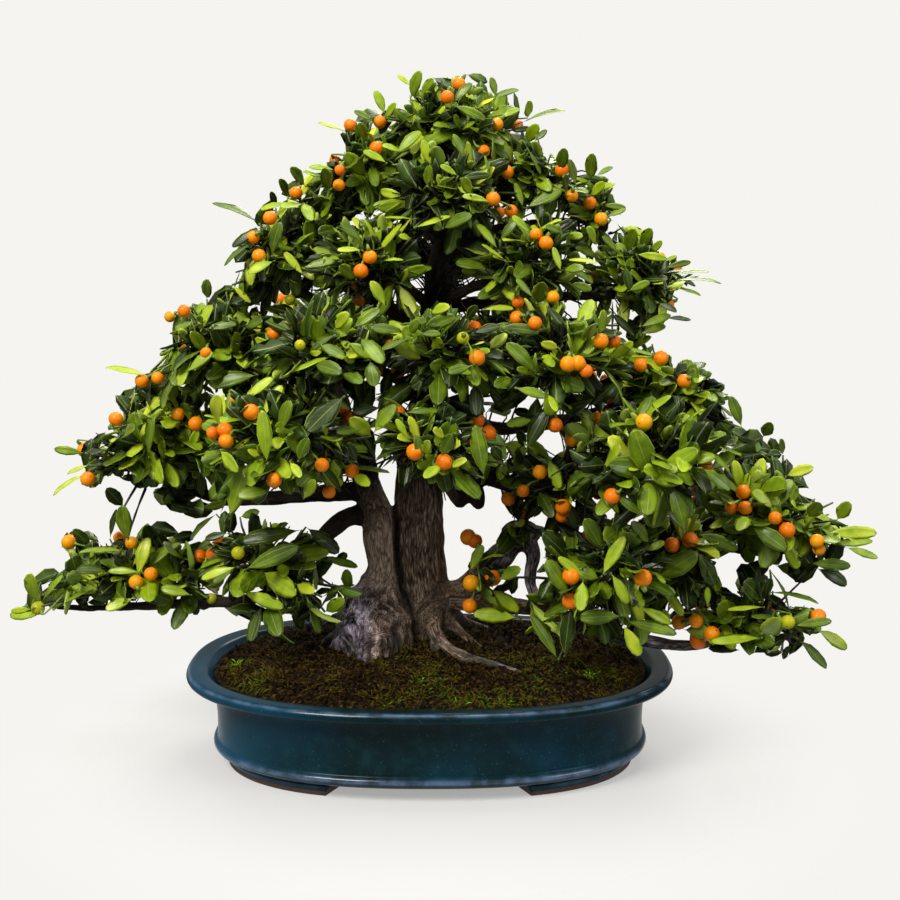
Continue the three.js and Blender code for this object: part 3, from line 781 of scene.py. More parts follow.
@dataclass(frozen=True)
class Paper:
    """Studio floor and backdrop: matt, pale, seamless paper that keeps the same tone far from the tree."""

    tone: str = "#f5f4f0"
    lit: str = "#cdcdce"
    near: float = 0.20  # metres from the middle, where the paper begins to fade into the backdrop
    far: float = 0.46
    own_light: float = 0.4  # share of its tone that the paper keeps in a shadow

    def material(self) -> bpy.types.Material:
        """Makes the paper, which takes the pot's shadow and fades into the backdrop further out."""
        material = bpy.data.materials.new("seamless paper")
        material.use_nodes = True
        graph = Graph(material.node_tree)
        flat = graph.vectors("MULTIPLY", graph.place(), (1, 1, 0))
        away = graph.add("VectorMath", {"operation": "LENGTH"}, {0: flat}).outputs["Value"]
        lit = graph.add("BsdfDiffuse", inputs={"Color": self.lit})
        own = graph.add("Emission", inputs={"Color": self.tone, "Strength": 1.0})
        paper = graph.add("MixShader", inputs={0: self.own_light, 1: lit.outputs[0], 2: own.outputs[0]})
        clear = graph.add("BsdfTransparent")
        faded = graph.scaled(away, self.near, self.far)
        mix = graph.add("MixShader", inputs={0: faded, 1: paper.outputs[0], 2: clear.outputs[0]})
        graph.add("OutputMaterial", inputs={"Surface": mix.outputs[0]})
        return material


# Camera, lights and floor


@dataclass(frozen=True)
class Viewpoint:
    """The camera: where it stands in mm, how far it looks down, and its lens."""

    x: float = 20.1
    y: float = -1300.0
    z: float = 497.0
    down_degrees: float = 8.28
    frame_side: float = 900.0
    focal_pixels: float = 1326.0
    sensor_mm: float = 36.0

    def place(self) -> np.ndarray:
        """The camera's place in mm."""
        return np.array([self.x, self.y, self.z])

    def ray(self, across: float | np.ndarray, down: float | np.ndarray) -> np.ndarray:
        """Direction from the camera through one or more places in the frame.

        The direction is forward + right (u - half) / f + up (half - v) / f.

        Args:
            across: u, from the frame's left edge.
            down: v, from its top edge.

        Returns:
            A unit vector, or one a place.
        """
        tilt = math.radians(self.down_degrees)
        forward = np.array([0, math.cos(tilt), -math.sin(tilt)])
        upward = np.array([0, math.sin(tilt), math.cos(tilt)])
        right = np.array([1.0, 0, 0])
        u, v = ((np.asarray(value)[..., None] - self.frame_side / 2) / self.focal_pixels
                for value in (across, down))
        return unit(forward + right * u - upward * v)

    def seen_at(self, points: np.ndarray) -> tuple[np.ndarray, np.ndarray]:
        """Where places are seen in the frame, across and down: the reverse of ray."""
        tilt = math.radians(self.down_degrees)
        offset = points - self.place()
        ahead = offset[:, 1] * math.cos(tilt) - offset[:, 2] * math.sin(tilt)
        above = offset[:, 1] * math.sin(tilt) + offset[:, 2] * math.cos(tilt)
        half = self.frame_side / 2
        return half + self.focal_pixels * offset[:, 0] / ahead, half - self.focal_pixels * above / ahead

    def within(self, points: np.ndarray, outline: tuple[tuple[float, float], ...]) -> np.ndarray:
        """Which places are seen inside an outline: a line to their right crosses it an odd number of times.

        Args:
            points: places in mm.
            outline: places across and down in the frame.

        Returns:
            True or false for each place.
        """
        across, down = self.seen_at(points)
        inside = np.zeros(len(points), bool)
        for (x0, y0), (x1, y1) in zip(outline, outline[1:] + outline[:1]):
            if y0 != y1:
                crossing = x0 + (down - y0) / (y1 - y0) * (x1 - x0)
                inside ^= ((down < y0) != (down < y1)) & (across < crossing)
        return inside

    def build(self) -> None:
        """Makes the camera and sets it as the scene's."""
        camera = bpy.data.cameras.new("camera")
        camera.sensor_width = self.sensor_mm
        camera.lens = self.focal_pixels / self.frame_side * self.sensor_mm
        holder = bpy.data.objects.new("camera", camera)
        holder.location = self.place() * MM
        holder.rotation_euler = (math.radians(90 - self.down_degrees), 0, 0)
        bpy.context.scene.collection.objects.link(holder)
        bpy.context.scene.camera = holder


@dataclass(frozen=True)
class Lamp:
    """A soft area light: its place and aim in metres, its side and its power in watts."""

    name: str
    place: tuple[float, float, float]
    aim: tuple[float, float, float]
    side: float
    power: float
    colour: str = "#ffffff"

    def build(self) -> None:
        """Makes the light, turned so that it shines from its place to its aim."""
        light = bpy.data.lights.new(self.name, "AREA")
        light.size = self.side
        light.energy = self.power
        light.color = linear(self.colour)[:3]
        holder = bpy.data.objects.new(self.name, light)
        way = Vector(self.aim) - Vector(self.place)
        holder.location = self.place
        holder.rotation_euler = way.to_track_quat("-Z", "Y").to_euler()
        holder.visible_camera = False
        bpy.context.scene.collection.objects.link(holder)


@dataclass(frozen=True)
class Studio:
    """Floor, sky and lights."""

    floor_radius: float = 640.0
    rings: int = 12
    sides: int = 96
    sky: str = "#f5f4f0"
    ambient_below: float = 0.16
    ambient_above: float = 0.66
    lamps: tuple[Lamp, ...] = (
        Lamp("key", (-1.2, -1.9, 2.2), (0, 0, 0.3), 1.1, 92.0, "#fffaf2"),
        Lamp("top", (0.2, 0.1, 2.6), (0, 0, 0.4), 1.4, 34.0, "#fffdf8"),
        Lamp("rim", (0.5, 1.9, 1.9), (0, 0, 0.4), 1.0, 34.0, "#fffbee"),
        Lamp("fill", (2.0, -1.5, 1.4), (0, 0, 0.3), 1.2, 24.0, "#f6f8ff"),
    )

    def floor(self) -> None:
        """Makes the round floor: rings round a middle, which a fan of triangles closes."""
        radius = np.linspace(0, 1, self.rings)[1:] * self.floor_radius
        angle = round_angles(self.sides)
        rings = np.stack([radius[:, None] * np.cos(angle), radius[:, None] * np.sin(angle),
                          np.zeros((len(radius), self.sides))], axis=-1).reshape(-1, 3)
        column = np.arange(self.sides)
        middle = np.full(self.sides, len(rings))
        fan = np.stack([column, (column + 1) % self.sides, middle, middle], axis=-1)
        shell = Shell()
        shell.add(np.concatenate([rings, np.zeros((1, 3))]),
                  np.concatenate([grid_faces(len(radius), self.sides)[:, ::-1], fan]))
        floor = shell.piece("floor", [Paper().material()])

    def build(self) -> None:
        """Makes the floor, the sky and the lights."""
        self.floor()
        world = bpy.data.worlds.new("studio")
        world.use_nodes = True
        graph = Graph(world.node_tree)
        way = graph.add("TexCoord").outputs["Generated"]
        height = graph.add("SeparateXYZ", inputs={0: way}).outputs["Z"]
        light = graph.scaled(height, -0.4, 0.8, self.ambient_below, self.ambient_above)
        seen = graph.add("LightPath").outputs["Is Camera Ray"]
        strength = graph.add("MapRange", inputs={"Value": seen, "To Min": light, "To Max": 1.0}).outputs[0]
        glow = graph.add("Background", inputs={"Color": self.sky, "Strength": strength})
        graph.add("OutputWorld", inputs={"Surface": glow.outputs[0]})
        bpy.context.scene.world = world
        bpy.context.scene.view_settings.view_transform = "Standard"
        for lamp in self.lamps:
            lamp.build()


# Pot


@dataclass(frozen=True)
class Oval:
    """Plan of the pot: a superellipse, |x / a| to the power p plus |y / b| to the power p is 1."""

    half_length: float = 242.0
    half_depth: float = 172.0
    squareness: float = 2.4

    def angles(self, sides: int) -> np.ndarray:
        """Angles whose places on the outline are evenly spread along it."""
        dense = np.linspace(0, 2 * np.pi, 7201)
        line = self.outline(10.0, dense)
        length = walked(line)
        return np.interp(np.arange(sides) / sides * length[-1], length, dense)

    def outline(self, inset: float | np.ndarray, angle: np.ndarray) -> np.ndarray:
        """Places on the outline drawn in by an inset: x = (a - i) cos^(2/p), y = (b - i) sin^(2/p)."""
        power = 2 / self.squareness
        cosine, sine = np.cos(angle), np.sin(angle)
        return np.stack([(self.half_length - inset) * np.sign(cosine) * np.abs(cosine) ** power,
                         (self.half_depth - inset) * np.sign(sine) * np.abs(sine) ** power], axis=-1)

    def share(self, points: np.ndarray, inset: float) -> np.ndarray:
        """How far out places lie, from 0 in the middle to 1 on the outline drawn in by an inset."""
        ratio = np.abs(points[:, 0] / (self.half_length - inset)) ** self.squareness
        across = np.abs(points[:, 1] / (self.half_depth - inset)) ** self.squareness
        return (ratio + across) ** (1 / self.squareness)


OVAL = Oval()


@dataclass
class Pot:
    """Oval pot with an out-turned rim, a moulded foot line and four curved feet."""

    sides: int = 288
    profile: tuple[tuple[float, float], ...] = (
        (80, 12.2), (46, 12), (38, 12.2), (33, 13), (29, 14.6), (26, 16.8), (24.2, 19.4), (23.9, 21.4),
        (24.6, 23.4),
        (26.4, 25), (27.8, 26.2), (28.2, 28.4), (28.4, 34), (28.6, 44), (28.2, 54), (27.2, 64), (25.6, 72),
        (23.4, 78.4), (20.6, 81.2), (16, 82.6), (8, 83.8), (3.4, 84.8), (0.6, 86.6), (-0.6, 89), (-0.6, 91.2),
        (0.2, 93.2), (1.8, 94.8), (4.2, 95.5), (7, 95.4), (14, 95), (18, 94.5), (20, 93.2), (21.6, 91.2),
        (25.4, 87),
        (32.5, 79), (36.5, 54), (38, 26), (46, 17.2), (70, 17),
    )
    foot_front: tuple[tuple[float, float], ...] = (  # inset from the foot's own, and height
        (1.2, 0.0), (0.3, 0.8), (0, 2.4), (0, 3.8), (0.9, 4.6), (-0.4, 5.6), (-1.2, 8.6), (-0.6, 10.2),
        (1.0, 11.2),
    )
    foot_inset: float = 37.0
    foot_width: float = 26.0
    foot_top: float = 13.4
    bare_height: float = 4.2
    foot_start: float = 7.0
    foot_end: float = 66.0
    foot_stations: int = 36
    drain_radius: float = 11.0
    drain_place: float = 105.0
    drain_bar: tuple[float, float] = (-10.0, 30.0)  # from below the pot to above its floor
    drain_sides: int = 40
    # The crest where the glaze is thin is also painted paler as a highlight.
    rim_crest: tuple[float, float] = (1.2, 94.4)  # inset and height of the crest where the glaze is thin
    bead_height: float = 21.6
    foot_crest_height: float = 8.8

    def section(self) -> np.ndarray:
        """The wall's profile with its corners cut: each edge keeps its points at 1/4 and 3/4."""
        line = np.array(self.profile, float)
        low, high = line[:-1], line[1:]
        cut = np.stack([low * 0.75 + high * 0.25, low * 0.25 + high * 0.75], axis=1).reshape(-1, 2)
        return np.concatenate([line[:1], cut, line[-1:]])

    def pooled(self, points: np.ndarray) -> np.ndarray:
        """Share of the painted light at the left end, which makes the glaze bluer and paler there."""
        return smooth_step(-90, -215, points[:, 0])

    def wall(self, shell: Shell) -> None:
        """Adds the body: the profile carried round the oval, closed at the middle below and inside."""
        section = self.section()
        angle = OVAL.angles(self.sides)
        rings = np.concatenate([np.column_stack([OVAL.outline(inset, angle), np.full(self.sides, z)])
                                for inset, z in section])
        points = np.concatenate([rings, [[0, 0, section[0][1]], [0, 0, section[-1][1]]]])
        faces = outward(points, capped_faces(len(section), self.sides))
        inset, z = section[:, 0], section[:, 1]
        # The rim's crest and the bead get paler glaze where it thins, which also stands in as a painted
        # highlight.
        rim = np.exp(-((z - self.rim_crest[1]) / 1.5) ** 2 - ((inset - self.rim_crest[0]) / 2.2) ** 2)
        bead = np.exp(-((z - self.bead_height) / 2.6) ** 2) * (inset < 32) * 0.9
        edge = np.concatenate([np.repeat(np.maximum(rim, bead), self.sides), [0, 0]])
        shell.add(points, faces, 0, edge=edge, pooled=self.pooled(points))

    def foot(self, shell: Shell, turn: float, mirror: float) -> None:
        """Adds one foot: a moulded section carried along the oval, rounded in at its two ends.

        Args:
            shell: what the foot is added to.
            turn: 0 for the right half of the pot and pi for the left.
            mirror: 1 or -1, for the side of the long axis.
        """
        share = np.linspace(0, 1, self.foot_stations)
        angle = turn + mirror * np.radians(self.foot_start + (self.foot_end - self.foot_start) * share)
        drawn_in = 2.2 * (1 - np.sin(np.pi * np.clip(share, 0.03, 0.97)) ** 0.18)
        inner = self.foot_inset + self.foot_width
        front = [(self.foot_inset + inset, z) for inset, z in self.foot_front]
        section = np.array([*front, (self.foot_inset + 1.4, self.foot_top), (inner - 1, self.foot_top),
                            (inner, 6.0), (inner, 1.0), (inner - 1, 0.0)])
        middle = self.foot_inset + self.foot_width / 2
        insets = middle + (section[:, 0] - middle)[None, :] * (1 - drawn_in / self.foot_width * 2)[:, None]
        plan = OVAL.outline(insets, angle[:, None])
        heights = np.broadcast_to(section[:, 1], insets.shape)
        rings = np.concatenate([plan, heights[..., None]], axis=-1)
        ends = rings[[0, -1]].mean(axis=1)
        points = np.concatenate([rings.reshape(-1, 3), ends])
        faces = outward(points, capped_faces(len(share), len(section)))
        bare = points[faces].mean(axis=1)[:, 2] < self.bare_height
        # The foot's crest gets a little of the same paler glaze, partly a painted highlight.
        glazed_edge = np.exp(-((points[:, 2] - self.foot_crest_height) / 1.6) ** 2) * 0.35
        shell.add(points, faces, bare.astype(int), edge=glazed_edge, pooled=self.pooled(points))

    def drain(self) -> bpy.types.Object:
        """Makes the round bars that are cut out of the floor."""
        shell = Shell()
        for place in (-self.drain_place, self.drain_place):
            line = np.array([[place, 0, z] for z in self.drain_bar])
            shell.add(*tube(line, np.full(2, self.drain_radius), self.drain_sides))
        return shell.piece("drain_cutter", [])

    def build(self) -> None:
        """Makes the pot and cuts its drain holes."""
        shell = Shell()
        self.wall(shell)
        for turn in (0.0, math.pi):
            for mirror in (1.0, -1.0):
                self.foot(shell, turn, mirror)
        piece = shell.piece("glazed_pot", [Glaze().material(), BARE_CLAY.material()])
        cutter = self.drain()
        cut = piece.modifiers.new("drain", "BOOLEAN")
        cut.operation = "DIFFERENCE"
        cut.solver = "EXACT"
        cut.object = cutter
        piece.data = applied(piece)
        piece.modifiers.clear()
        bpy.data.objects.remove(cutter)
        seat(piece, "pot", "pot")


def applied(piece: bpy.types.Object) -> bpy.types.Mesh:
    """The mesh of a piece with its modifiers worked out."""
    bpy.context.view_layer.update()
    return bpy.data.meshes.new_from_object(piece.evaluated_get(bpy.context.evaluated_depsgraph_get()))


# Soil and moss


@dataclass
class Ground:
    """Mound of soil in the pot, z = edge + rise (1 - share squared) to a power, and the moss on it."""

    edge_height: float = 89.0
    edge_inset: float = 25.9
    rise: float = 34.0
    roundness: float = 1.3  # power that rounds the mound's edge
    lumps: float = 11.0  # mm from the lowest to the highest
    floor: float = 17.7
    below: tuple[tuple[float, float], ...] = ((46.6, 17.7), (38.8, 26.0), (37.2, 54.0), (33.2, 79.0))
    sides: int = 200
    rings: int = 44
    fibres: int = 12500
    fibre_length: tuple[float, float] = (3.2, 8.4)
    fibre_radius: tuple[float, float] = (0.5, 1.05)
    fibre_faces: tuple[tuple[int, ...], ...] = (
        (0, 1, 4, 3), (1, 2, 5, 4), (2, 0, 3, 5), (3, 4, 6, 6), (4, 5, 6, 6), (5, 3, 6, 6), (0, 2, 1, 1))
    tufts: tuple[tuple[float, float, float], ...] = ((-194, -25, 9), (154, -72, 6), (188, 34, 6),
                                                     (-120, 96, 10))

    def height(self, points: np.ndarray) -> np.ndarray:
        """Height of the mound over places in plan, with lumps of up to 5 mm away from its edge."""
        share = np.clip(OVAL.share(points, self.edge_inset), 0, 1)
        level = self.edge_height + self.rise * (1 - share ** 2) ** self.roundness
        lumps = (Noise(Seed.SOIL_LUMPS).on_plan(points, 10, 4) - 0.5) * self.lumps
        return level + lumps * smooth_step(1.0, 0.93, share)

    def mound(self) -> None:
        """Makes the soil: rings shrunk towards the middle above, and the pot's inner wall below."""
        angle = OVAL.angles(self.sides)
        rings = [np.column_stack([OVAL.outline(inset, angle), np.full(self.sides, z)])
                 for inset, z in self.below]
        for share in np.linspace(1, 0, self.rings, endpoint=False):
            plan = OVAL.outline(self.edge_inset, angle) * share
            rings.append(np.column_stack([plan, self.height(plan)]))
        ends = np.array([[0, 0, self.floor], [0, 0, self.height(np.zeros((1, 2)))[0]]])
        points = np.concatenate([*rings, ends])
        faces = outward(points, capped_faces(len(rings), self.sides))
        shell = Shell()
        shell.add(points, faces)
        seat(shell.piece("soil_mound", [EARTH.material()]), "soil", "soil")

    def moss(self, skeleton: "Skeleton") -> None:
        """Makes the moss: curved three-sided spikes, base + length t + an arch that rises as sin(pi t).

        Args:
            skeleton: the wood, which no fibre grows from.
        """
        rng = np.random.default_rng(Seed.MOSS)
        plan = rng.uniform(-1, 1, (self.fibres * 5, 2)) * [OVAL.half_length, OVAL.half_depth]
        plan = plan[OVAL.share(plan, self.edge_inset) < 0.985]
        cushion = Noise(Seed.MOSS_CUSHIONS).on_plan(plan, 6.5, 2)
        grown = rng.random(len(plan)) < smooth_step(0.34, 0.56, cushion)
        plan, cushion = plan[grown], cushion[grown]
        base = np.column_stack([plan, self.height(plan) - 0.8])
        rooted = np.flatnonzero(skeleton.clearance(base) > 0.5)[:self.fibres]
        base = base[rooted]
        count = len(base)
        patch = Noise(Seed.MOSS_PATCHES).on_plan(base, 34)
        front = smooth_step(40, -130, base[:, 1])
        fresh = 0.14 + 0.44 * smooth_step(0.3, 0.7, patch) * (0.6 + 0.4 * front) + rng.normal(0, 0.13, count)
        fresh -= 0.3 * smooth_step(0.5, 0.3, cushion[rooted])
        lift = rng.uniform(0.2, 1.2, count)
        for x, y, radius in self.tufts:
            near = np.exp(-((base[:, 0] - x) ** 2 + (base[:, 1] - y) ** 2) / radius ** 2)
            fresh += near * 0.6
            lift += near * 0.4
        azimuth = rng.uniform(0, 2 * np.pi, count)
        lying = np.column_stack([np.cos(azimuth), np.sin(azimuth), np.zeros(count)])
        side = np.column_stack([-np.sin(azimuth), np.cos(azimuth), np.zeros(count)])
        length = rng.uniform(*self.fibre_length, count)[:, None]
        inward = smooth_step(0.9, 0.985, OVAL.share(base, self.edge_inset))[:, None]
        lying = unit(lying - unit(base * [1, 1, 0]) * inward * 1.5)
        curl = rng.uniform(-0.9, 0.9, count)[:, None]
        steps = np.array([0.0, 0.55, 1.0])[None, :, None]
        spine = base[:, None] + lying[:, None] * length[:, None] * steps
        spine = spine + UP * length[:, None] * (lift[:, None, None] * steps + 0.22 * np.sin(np.pi * steps))
        spine = spine + side[:, None] * (curl * length)[:, None] * steps ** 2
        radius = rng.uniform(*self.fibre_radius, count)
        spread = spokes(side, UP, 3)[:, None] * (radius[:, None] * [1.0, 0.8])[..., None, None]
        rings = spine[:, :2, None] + spread
        points = np.concatenate([rings.reshape(count, 6, 3), spine[:, 2:]], axis=1)
        one = outward(points[0], np.array(self.fibre_faces))
        along = [0, 0, 0, 0.55, 0.55, 0.55, 1.0]
        shell = Shell()
        # The cushions' height is kept for the moss's painted shade and light.
        shell.add(points.reshape(-1, 3), copied_faces(one, len(along), count), 0, along=np.tile(along, count),
                  fresh=np.repeat(np.clip(fresh, 0, 1), len(along)),
                  raised=np.repeat(smooth_step(0.36, 0.62, cushion[rooted]), len(along)))
        seat(shell.piece("moss", [MossFibre().material()]), "soil", "soil")


# Wood


class WoodPart(Enum):
    """Which of the two bark pieces a limb belongs to."""

    BASE = "trunk_bark"
    LIMBS = "limb_bark"


@dataclass(frozen=True)
class Limb:
    """A run of places with radii, [x, y, z, r] in mm, from the thick end to the tip."""

    run: tuple[tuple[float, ...], ...]
    part: WoodPart = WoodPart.LIMBS
    lobes: float = 0.0
    wobble: float = 1.0

    def line(self, seed: int) -> np.ndarray:
        """The smooth run, swayed sideways by noise that fades in from its start.

        Args:
            seed: chooses the sway.

        Returns:
            Rows of x, y, z and radius, about 3 mm apart.
        """
        line = smooth_run(np.array(self.run, float), 3.0)
        length = walked(line[:, :3])

        def waves(start: Seed, spacing: float, row: float) -> np.ndarray:
            """Noise from -0.5 to 0.5 along the run, on a row of its own for each limb."""
            place = [length / spacing, np.full_like(length, row), np.full_like(length, seed * 3.1)]
            return Noise(start).value(np.column_stack(place)) - 0.5

        fade = smooth_step(0, 30, length)
        for axis in range(3):
            line[:, axis] += waves(Seed.LIMB_SWAY, 22, 7.7 * axis) * 2 * self.wobble * fade
        line[:, 3] *= 1 + waves(Seed.LIMB_SWELL, 13, 40.0) * 0.24 * min(self.wobble, 1.0)
        return line


WOOD: dict[str, Limb] = {
    "trunk": Limb((
        (-2, 4, 78, 38), (-3, 4, 118, 35), (-5, 3, 142, 31), (-7, 1, 166, 27.5), (-10, 0, 200, 25.5),
        (-10.5, 0, 257, 24.5), (-9, 0, 300, 22.5), (-6, 0, 330, 20)), WoodPart.BASE, 0.05, 0.4),
    "trunk_top": Limb((
        (-6.5, 0, 318, 19.2), (-3, 0, 358, 17.5), (4, 2, 430, 14), (11, 2, 504, 10), (21, 0, 604, 5)),
        lobes=0.05),
    "second_trunk": Limb((
        (-50, -22, 76, 36), (-52, -22, 112, 38), (-56, -20, 136, 40), (-55, -17, 154, 31),
        (-50, -14, 171, 20.5),
        (-46, -10, 194, 14.5), (-48.5, -8, 217, 15.5), (-50, -6, 238, 16.5), (-57, -3, 257, 14.5),
        (-64, 0, 275, 14),
        (-67, 3, 294, 13.5), (-82, 8, 330, 9.5),
        (-98, 10, 368, 7), (-136, 8, 392, 5.5), (-176, 4, 402, 4)), WoodPart.BASE, 0.1, 0.6),
    "toe_front": Limb((
        (-50, -40, 128, 20), (-54, -58, 108, 12.5), (-57, -72, 92, 7.5)), WoodPart.BASE, wobble=0.5),
    "toe_left": Limb((
        (-70, -26, 130, 20), (-86, -30, 114, 12), (-96, -34, 98, 7)), WoodPart.BASE, wobble=0.5),
    "toe_back": Limb(((-20, 24, 130, 24), (-34, 56, 114, 14), (-50, 84, 98, 6)), WoodPart.BASE, wobble=0.5),
    "root_left": Limb((
        (-70, -16, 136, 9), (-88, -16, 127, 5), (-99, -14, 118, 3.4), (-108, -11, 110, 2.4)), WoodPart.BASE),
    "root_left_high": Limb((
        (-76, -14, 142, 8), (-94, -10, 139, 4.6), (-106, -6, 134, 3.6), (-118, 2, 122, 3)), WoodPart.BASE),
    "root_right": Limb((
        (2, -18, 146, 13), (6, -40, 132, 7.2), (20, -56, 121, 5.6), (38, -66, 114, 4.9), (62, -72, 110, 4.1),
        (92, -76, 102, 2.6)), WoodPart.BASE),
    "root_right_leg": Limb(((4, -36, 134, 6), (5, -47, 122, 4.6), (7, -50, 110, 3.6)), WoodPart.BASE),
    "root_right_back": Limb((
        (12, 0, 146, 13), (34, 16, 126, 8), (66, 30, 112, 5), (96, 42, 100, 3)), WoodPart.BASE),
    "root_middle": Limb(((14, -10, 142, 8), (32, -24, 126, 4.5), (52, -34, 114, 3)), WoodPart.BASE),
    "root_far": Limb(((66, -36, 112, 3.4), (84, -40, 109, 3.2), (104, -42, 105, 2.6)), WoodPart.BASE),
    "arch": Limb((
        (0, -4, 163, 15), (20, -10, 166, 12), (36, -15, 172, 12), (52, -19, 185, 13), (69, -23, 204, 12.5),
        (83, -26, 219, 11), (95, -29, 222, 9.5), (102, -32, 209, 7.5), (99, -33, 193, 5.8),
        (99, -36, 178, 5.6),
        (108, -42, 165, 5.8), (128, -64, 178, 5.2), (156, -90, 196, 4.5)), WoodPart.BASE),
    "arch_knob": Limb((
        (74, -28, 228, 7), (82, -30, 233, 9), (96, -31, 234, 8.5), (105, -31, 227, 7)), WoodPart.BASE),
    "low_right": Limb((
        (24, -12, 160, 12), (46, -20, 157, 10), (74, -26, 157, 9), (106, -34, 155, 7.5), (160, -40, 140, 6.5),
        (214, -38, 124, 6), (262, -34, 118, 5.2), (316, -30, 130, 4), (360, -34, 124, 2.6)), WoodPart.BASE),
    "right_long": Limb((
        (-4, -2, 290, 14), (20, -8, 292, 10.5), (42, -14, 288, 9.5), (68, -20, 280, 8), (110, -20, 262, 7.5),
        (160, -12, 240, 6.5), (222, -5, 222, 5.5), (280, -4, 212, 4.8), (330, -8, 206, 4.0),
        (372, -14, 210, 2.6))),
    "stub_low": Limb(((18, -12, 286, 10), (26, -18, 268, 9), (32, -22, 256, 6)), wobble=1.4),
    "stub_high": Limb(((40, -14, 284, 8), (46, -20, 266, 8), (49, -21, 254, 5)), wobble=1.4),
    "right_front": Limb(((66, -18, 280, 7), (112, -66, 286, 5.5), (168, -108, 304, 4))),
    "right_near": Limb(((66, -18, 280, 7), (84, -28, 278, 5), (104, -36, 276, 4))),
    "right_back": Limb(((-6, 4, 286, 11), (38, 46, 282, 7), (108, 98, 276, 5.5), (180, 126, 284, 4))),
    "right_middle": Limb((
        (-3, 0, 344, 13), (22, 0, 340, 9.5), (44, 0, 334, 8), (78, 0, 329, 7), (130, 0, 338, 6.4),
        (208, 0, 355, 5))),
    "low_right_riser": Limb(((196, -38, 129, 6), (214, -40, 162, 4.4), (236, -42, 194, 3.6))),
    "low_left": Limb((
        (-56, -5, 240, 12), (-78, -2, 242, 9.6), (-99, 0, 227, 8.8), (-118, 0, 208, 8), (-131, -3, 184, 7),
        (-152, -5, 166, 6.4), (-192, 0, 154, 6), (-242, 8, 150, 5.2), (-300, 18, 144, 4.4),
        (-350, 26, 140, 3.6),
        (-388, 34, 138, 2.6))),
    "left_inner": Limb(((-126, -3, 194, 6), (-138, -26, 198, 4.4), (-148, -36, 201, 3))),
    "left_long": Limb((
        (-64, -2, 266, 11), (-84, 4, 266, 9.5), (-120, 8, 262, 8), (-156, 10, 258, 7), (-206, 12, 256, 6),
        (-242, 12, 268, 5), (-276, 11, 284, 4), (-330, 10, 288, 2.8))),
    "left_middle": Limb(((-82, 8, 328, 7), (-114, 7, 332, 5), (-138, 6, 332, 4))),
    "left_front": Limb(((-64, 0, 284, 8), (-88, -52, 304, 6), (-118, -108, 328, 4))),
    "left_back": Limb(((-62, 2, 280, 8), (-94, 62, 286, 6), (-138, 112, 296, 4))),
    "upper_back_left": Limb(((-82, 8, 334, 7), (-94, 66, 374, 5.2), (-106, 112, 400, 4))),
    "upper_back_right": Limb(((0, 4, 384, 10), (48, 66, 394, 6), (102, 112, 404, 4))),
    "upper_front_left": Limb(((-3, 0, 362, 9), (-36, -48, 386, 5.5), (-70, -84, 402, 4))),
    "upper_front": Limb(((0, -2, 376, 9), (6, -54, 394, 5.5), (13, -98, 406, 4))),
    "upper_front_right": Limb(((1, 0, 384, 9), (50, -46, 392, 5.5), (100, -86, 401, 4))),
    "low_front": Limb(((-8, -4, 296, 10), (-4, -58, 312, 6), (5, -122, 326, 4))),
    "left_second": Limb(((3, 2, 416, 9), (-48, -4, 452, 6.4), (-114, -14, 484, 4.4))),
    "right_second": Limb(((6, 4, 446, 8), (60, 2, 454, 6), (122, 0, 458, 5), (180, 0, 460, 4))),
    "right_third": Limb(((11, 2, 500, 7), (66, 6, 524, 5), (160, 12, 534, 3.6))),
    "second_front_left": Limb(((5, 2, 446, 8), (-18, -30, 466, 4.6), (-38, -48, 478, 3.6))),
    "second_front_right": Limb(((7, 2, 452, 8), (46, -28, 470, 4.6), (74, -48, 480, 3.6))),
    "second_back": Limb(((8, 4, 452, 8), (9, 60, 474, 5.4), (10, 98, 488, 4))),
    "crown_left": Limb(((12, 2, 512, 7), (-26, -2, 552, 4.6), (-50, -6, 572, 3.4))),
    "crown_right": Limb(((13, 2, 514, 6.5), (56, 0, 546, 4.6), (88, 0, 562, 3.4))),
    "crown_front": Limb(((11, 0, 500, 6.5), (16, -34, 528, 4.2), (18, -56, 544, 3.4))),
    "crown_back": Limb(((11, 2, 500, 6.5), (16, 42, 538, 4.2), (20, 60, 556, 3.4))),
}


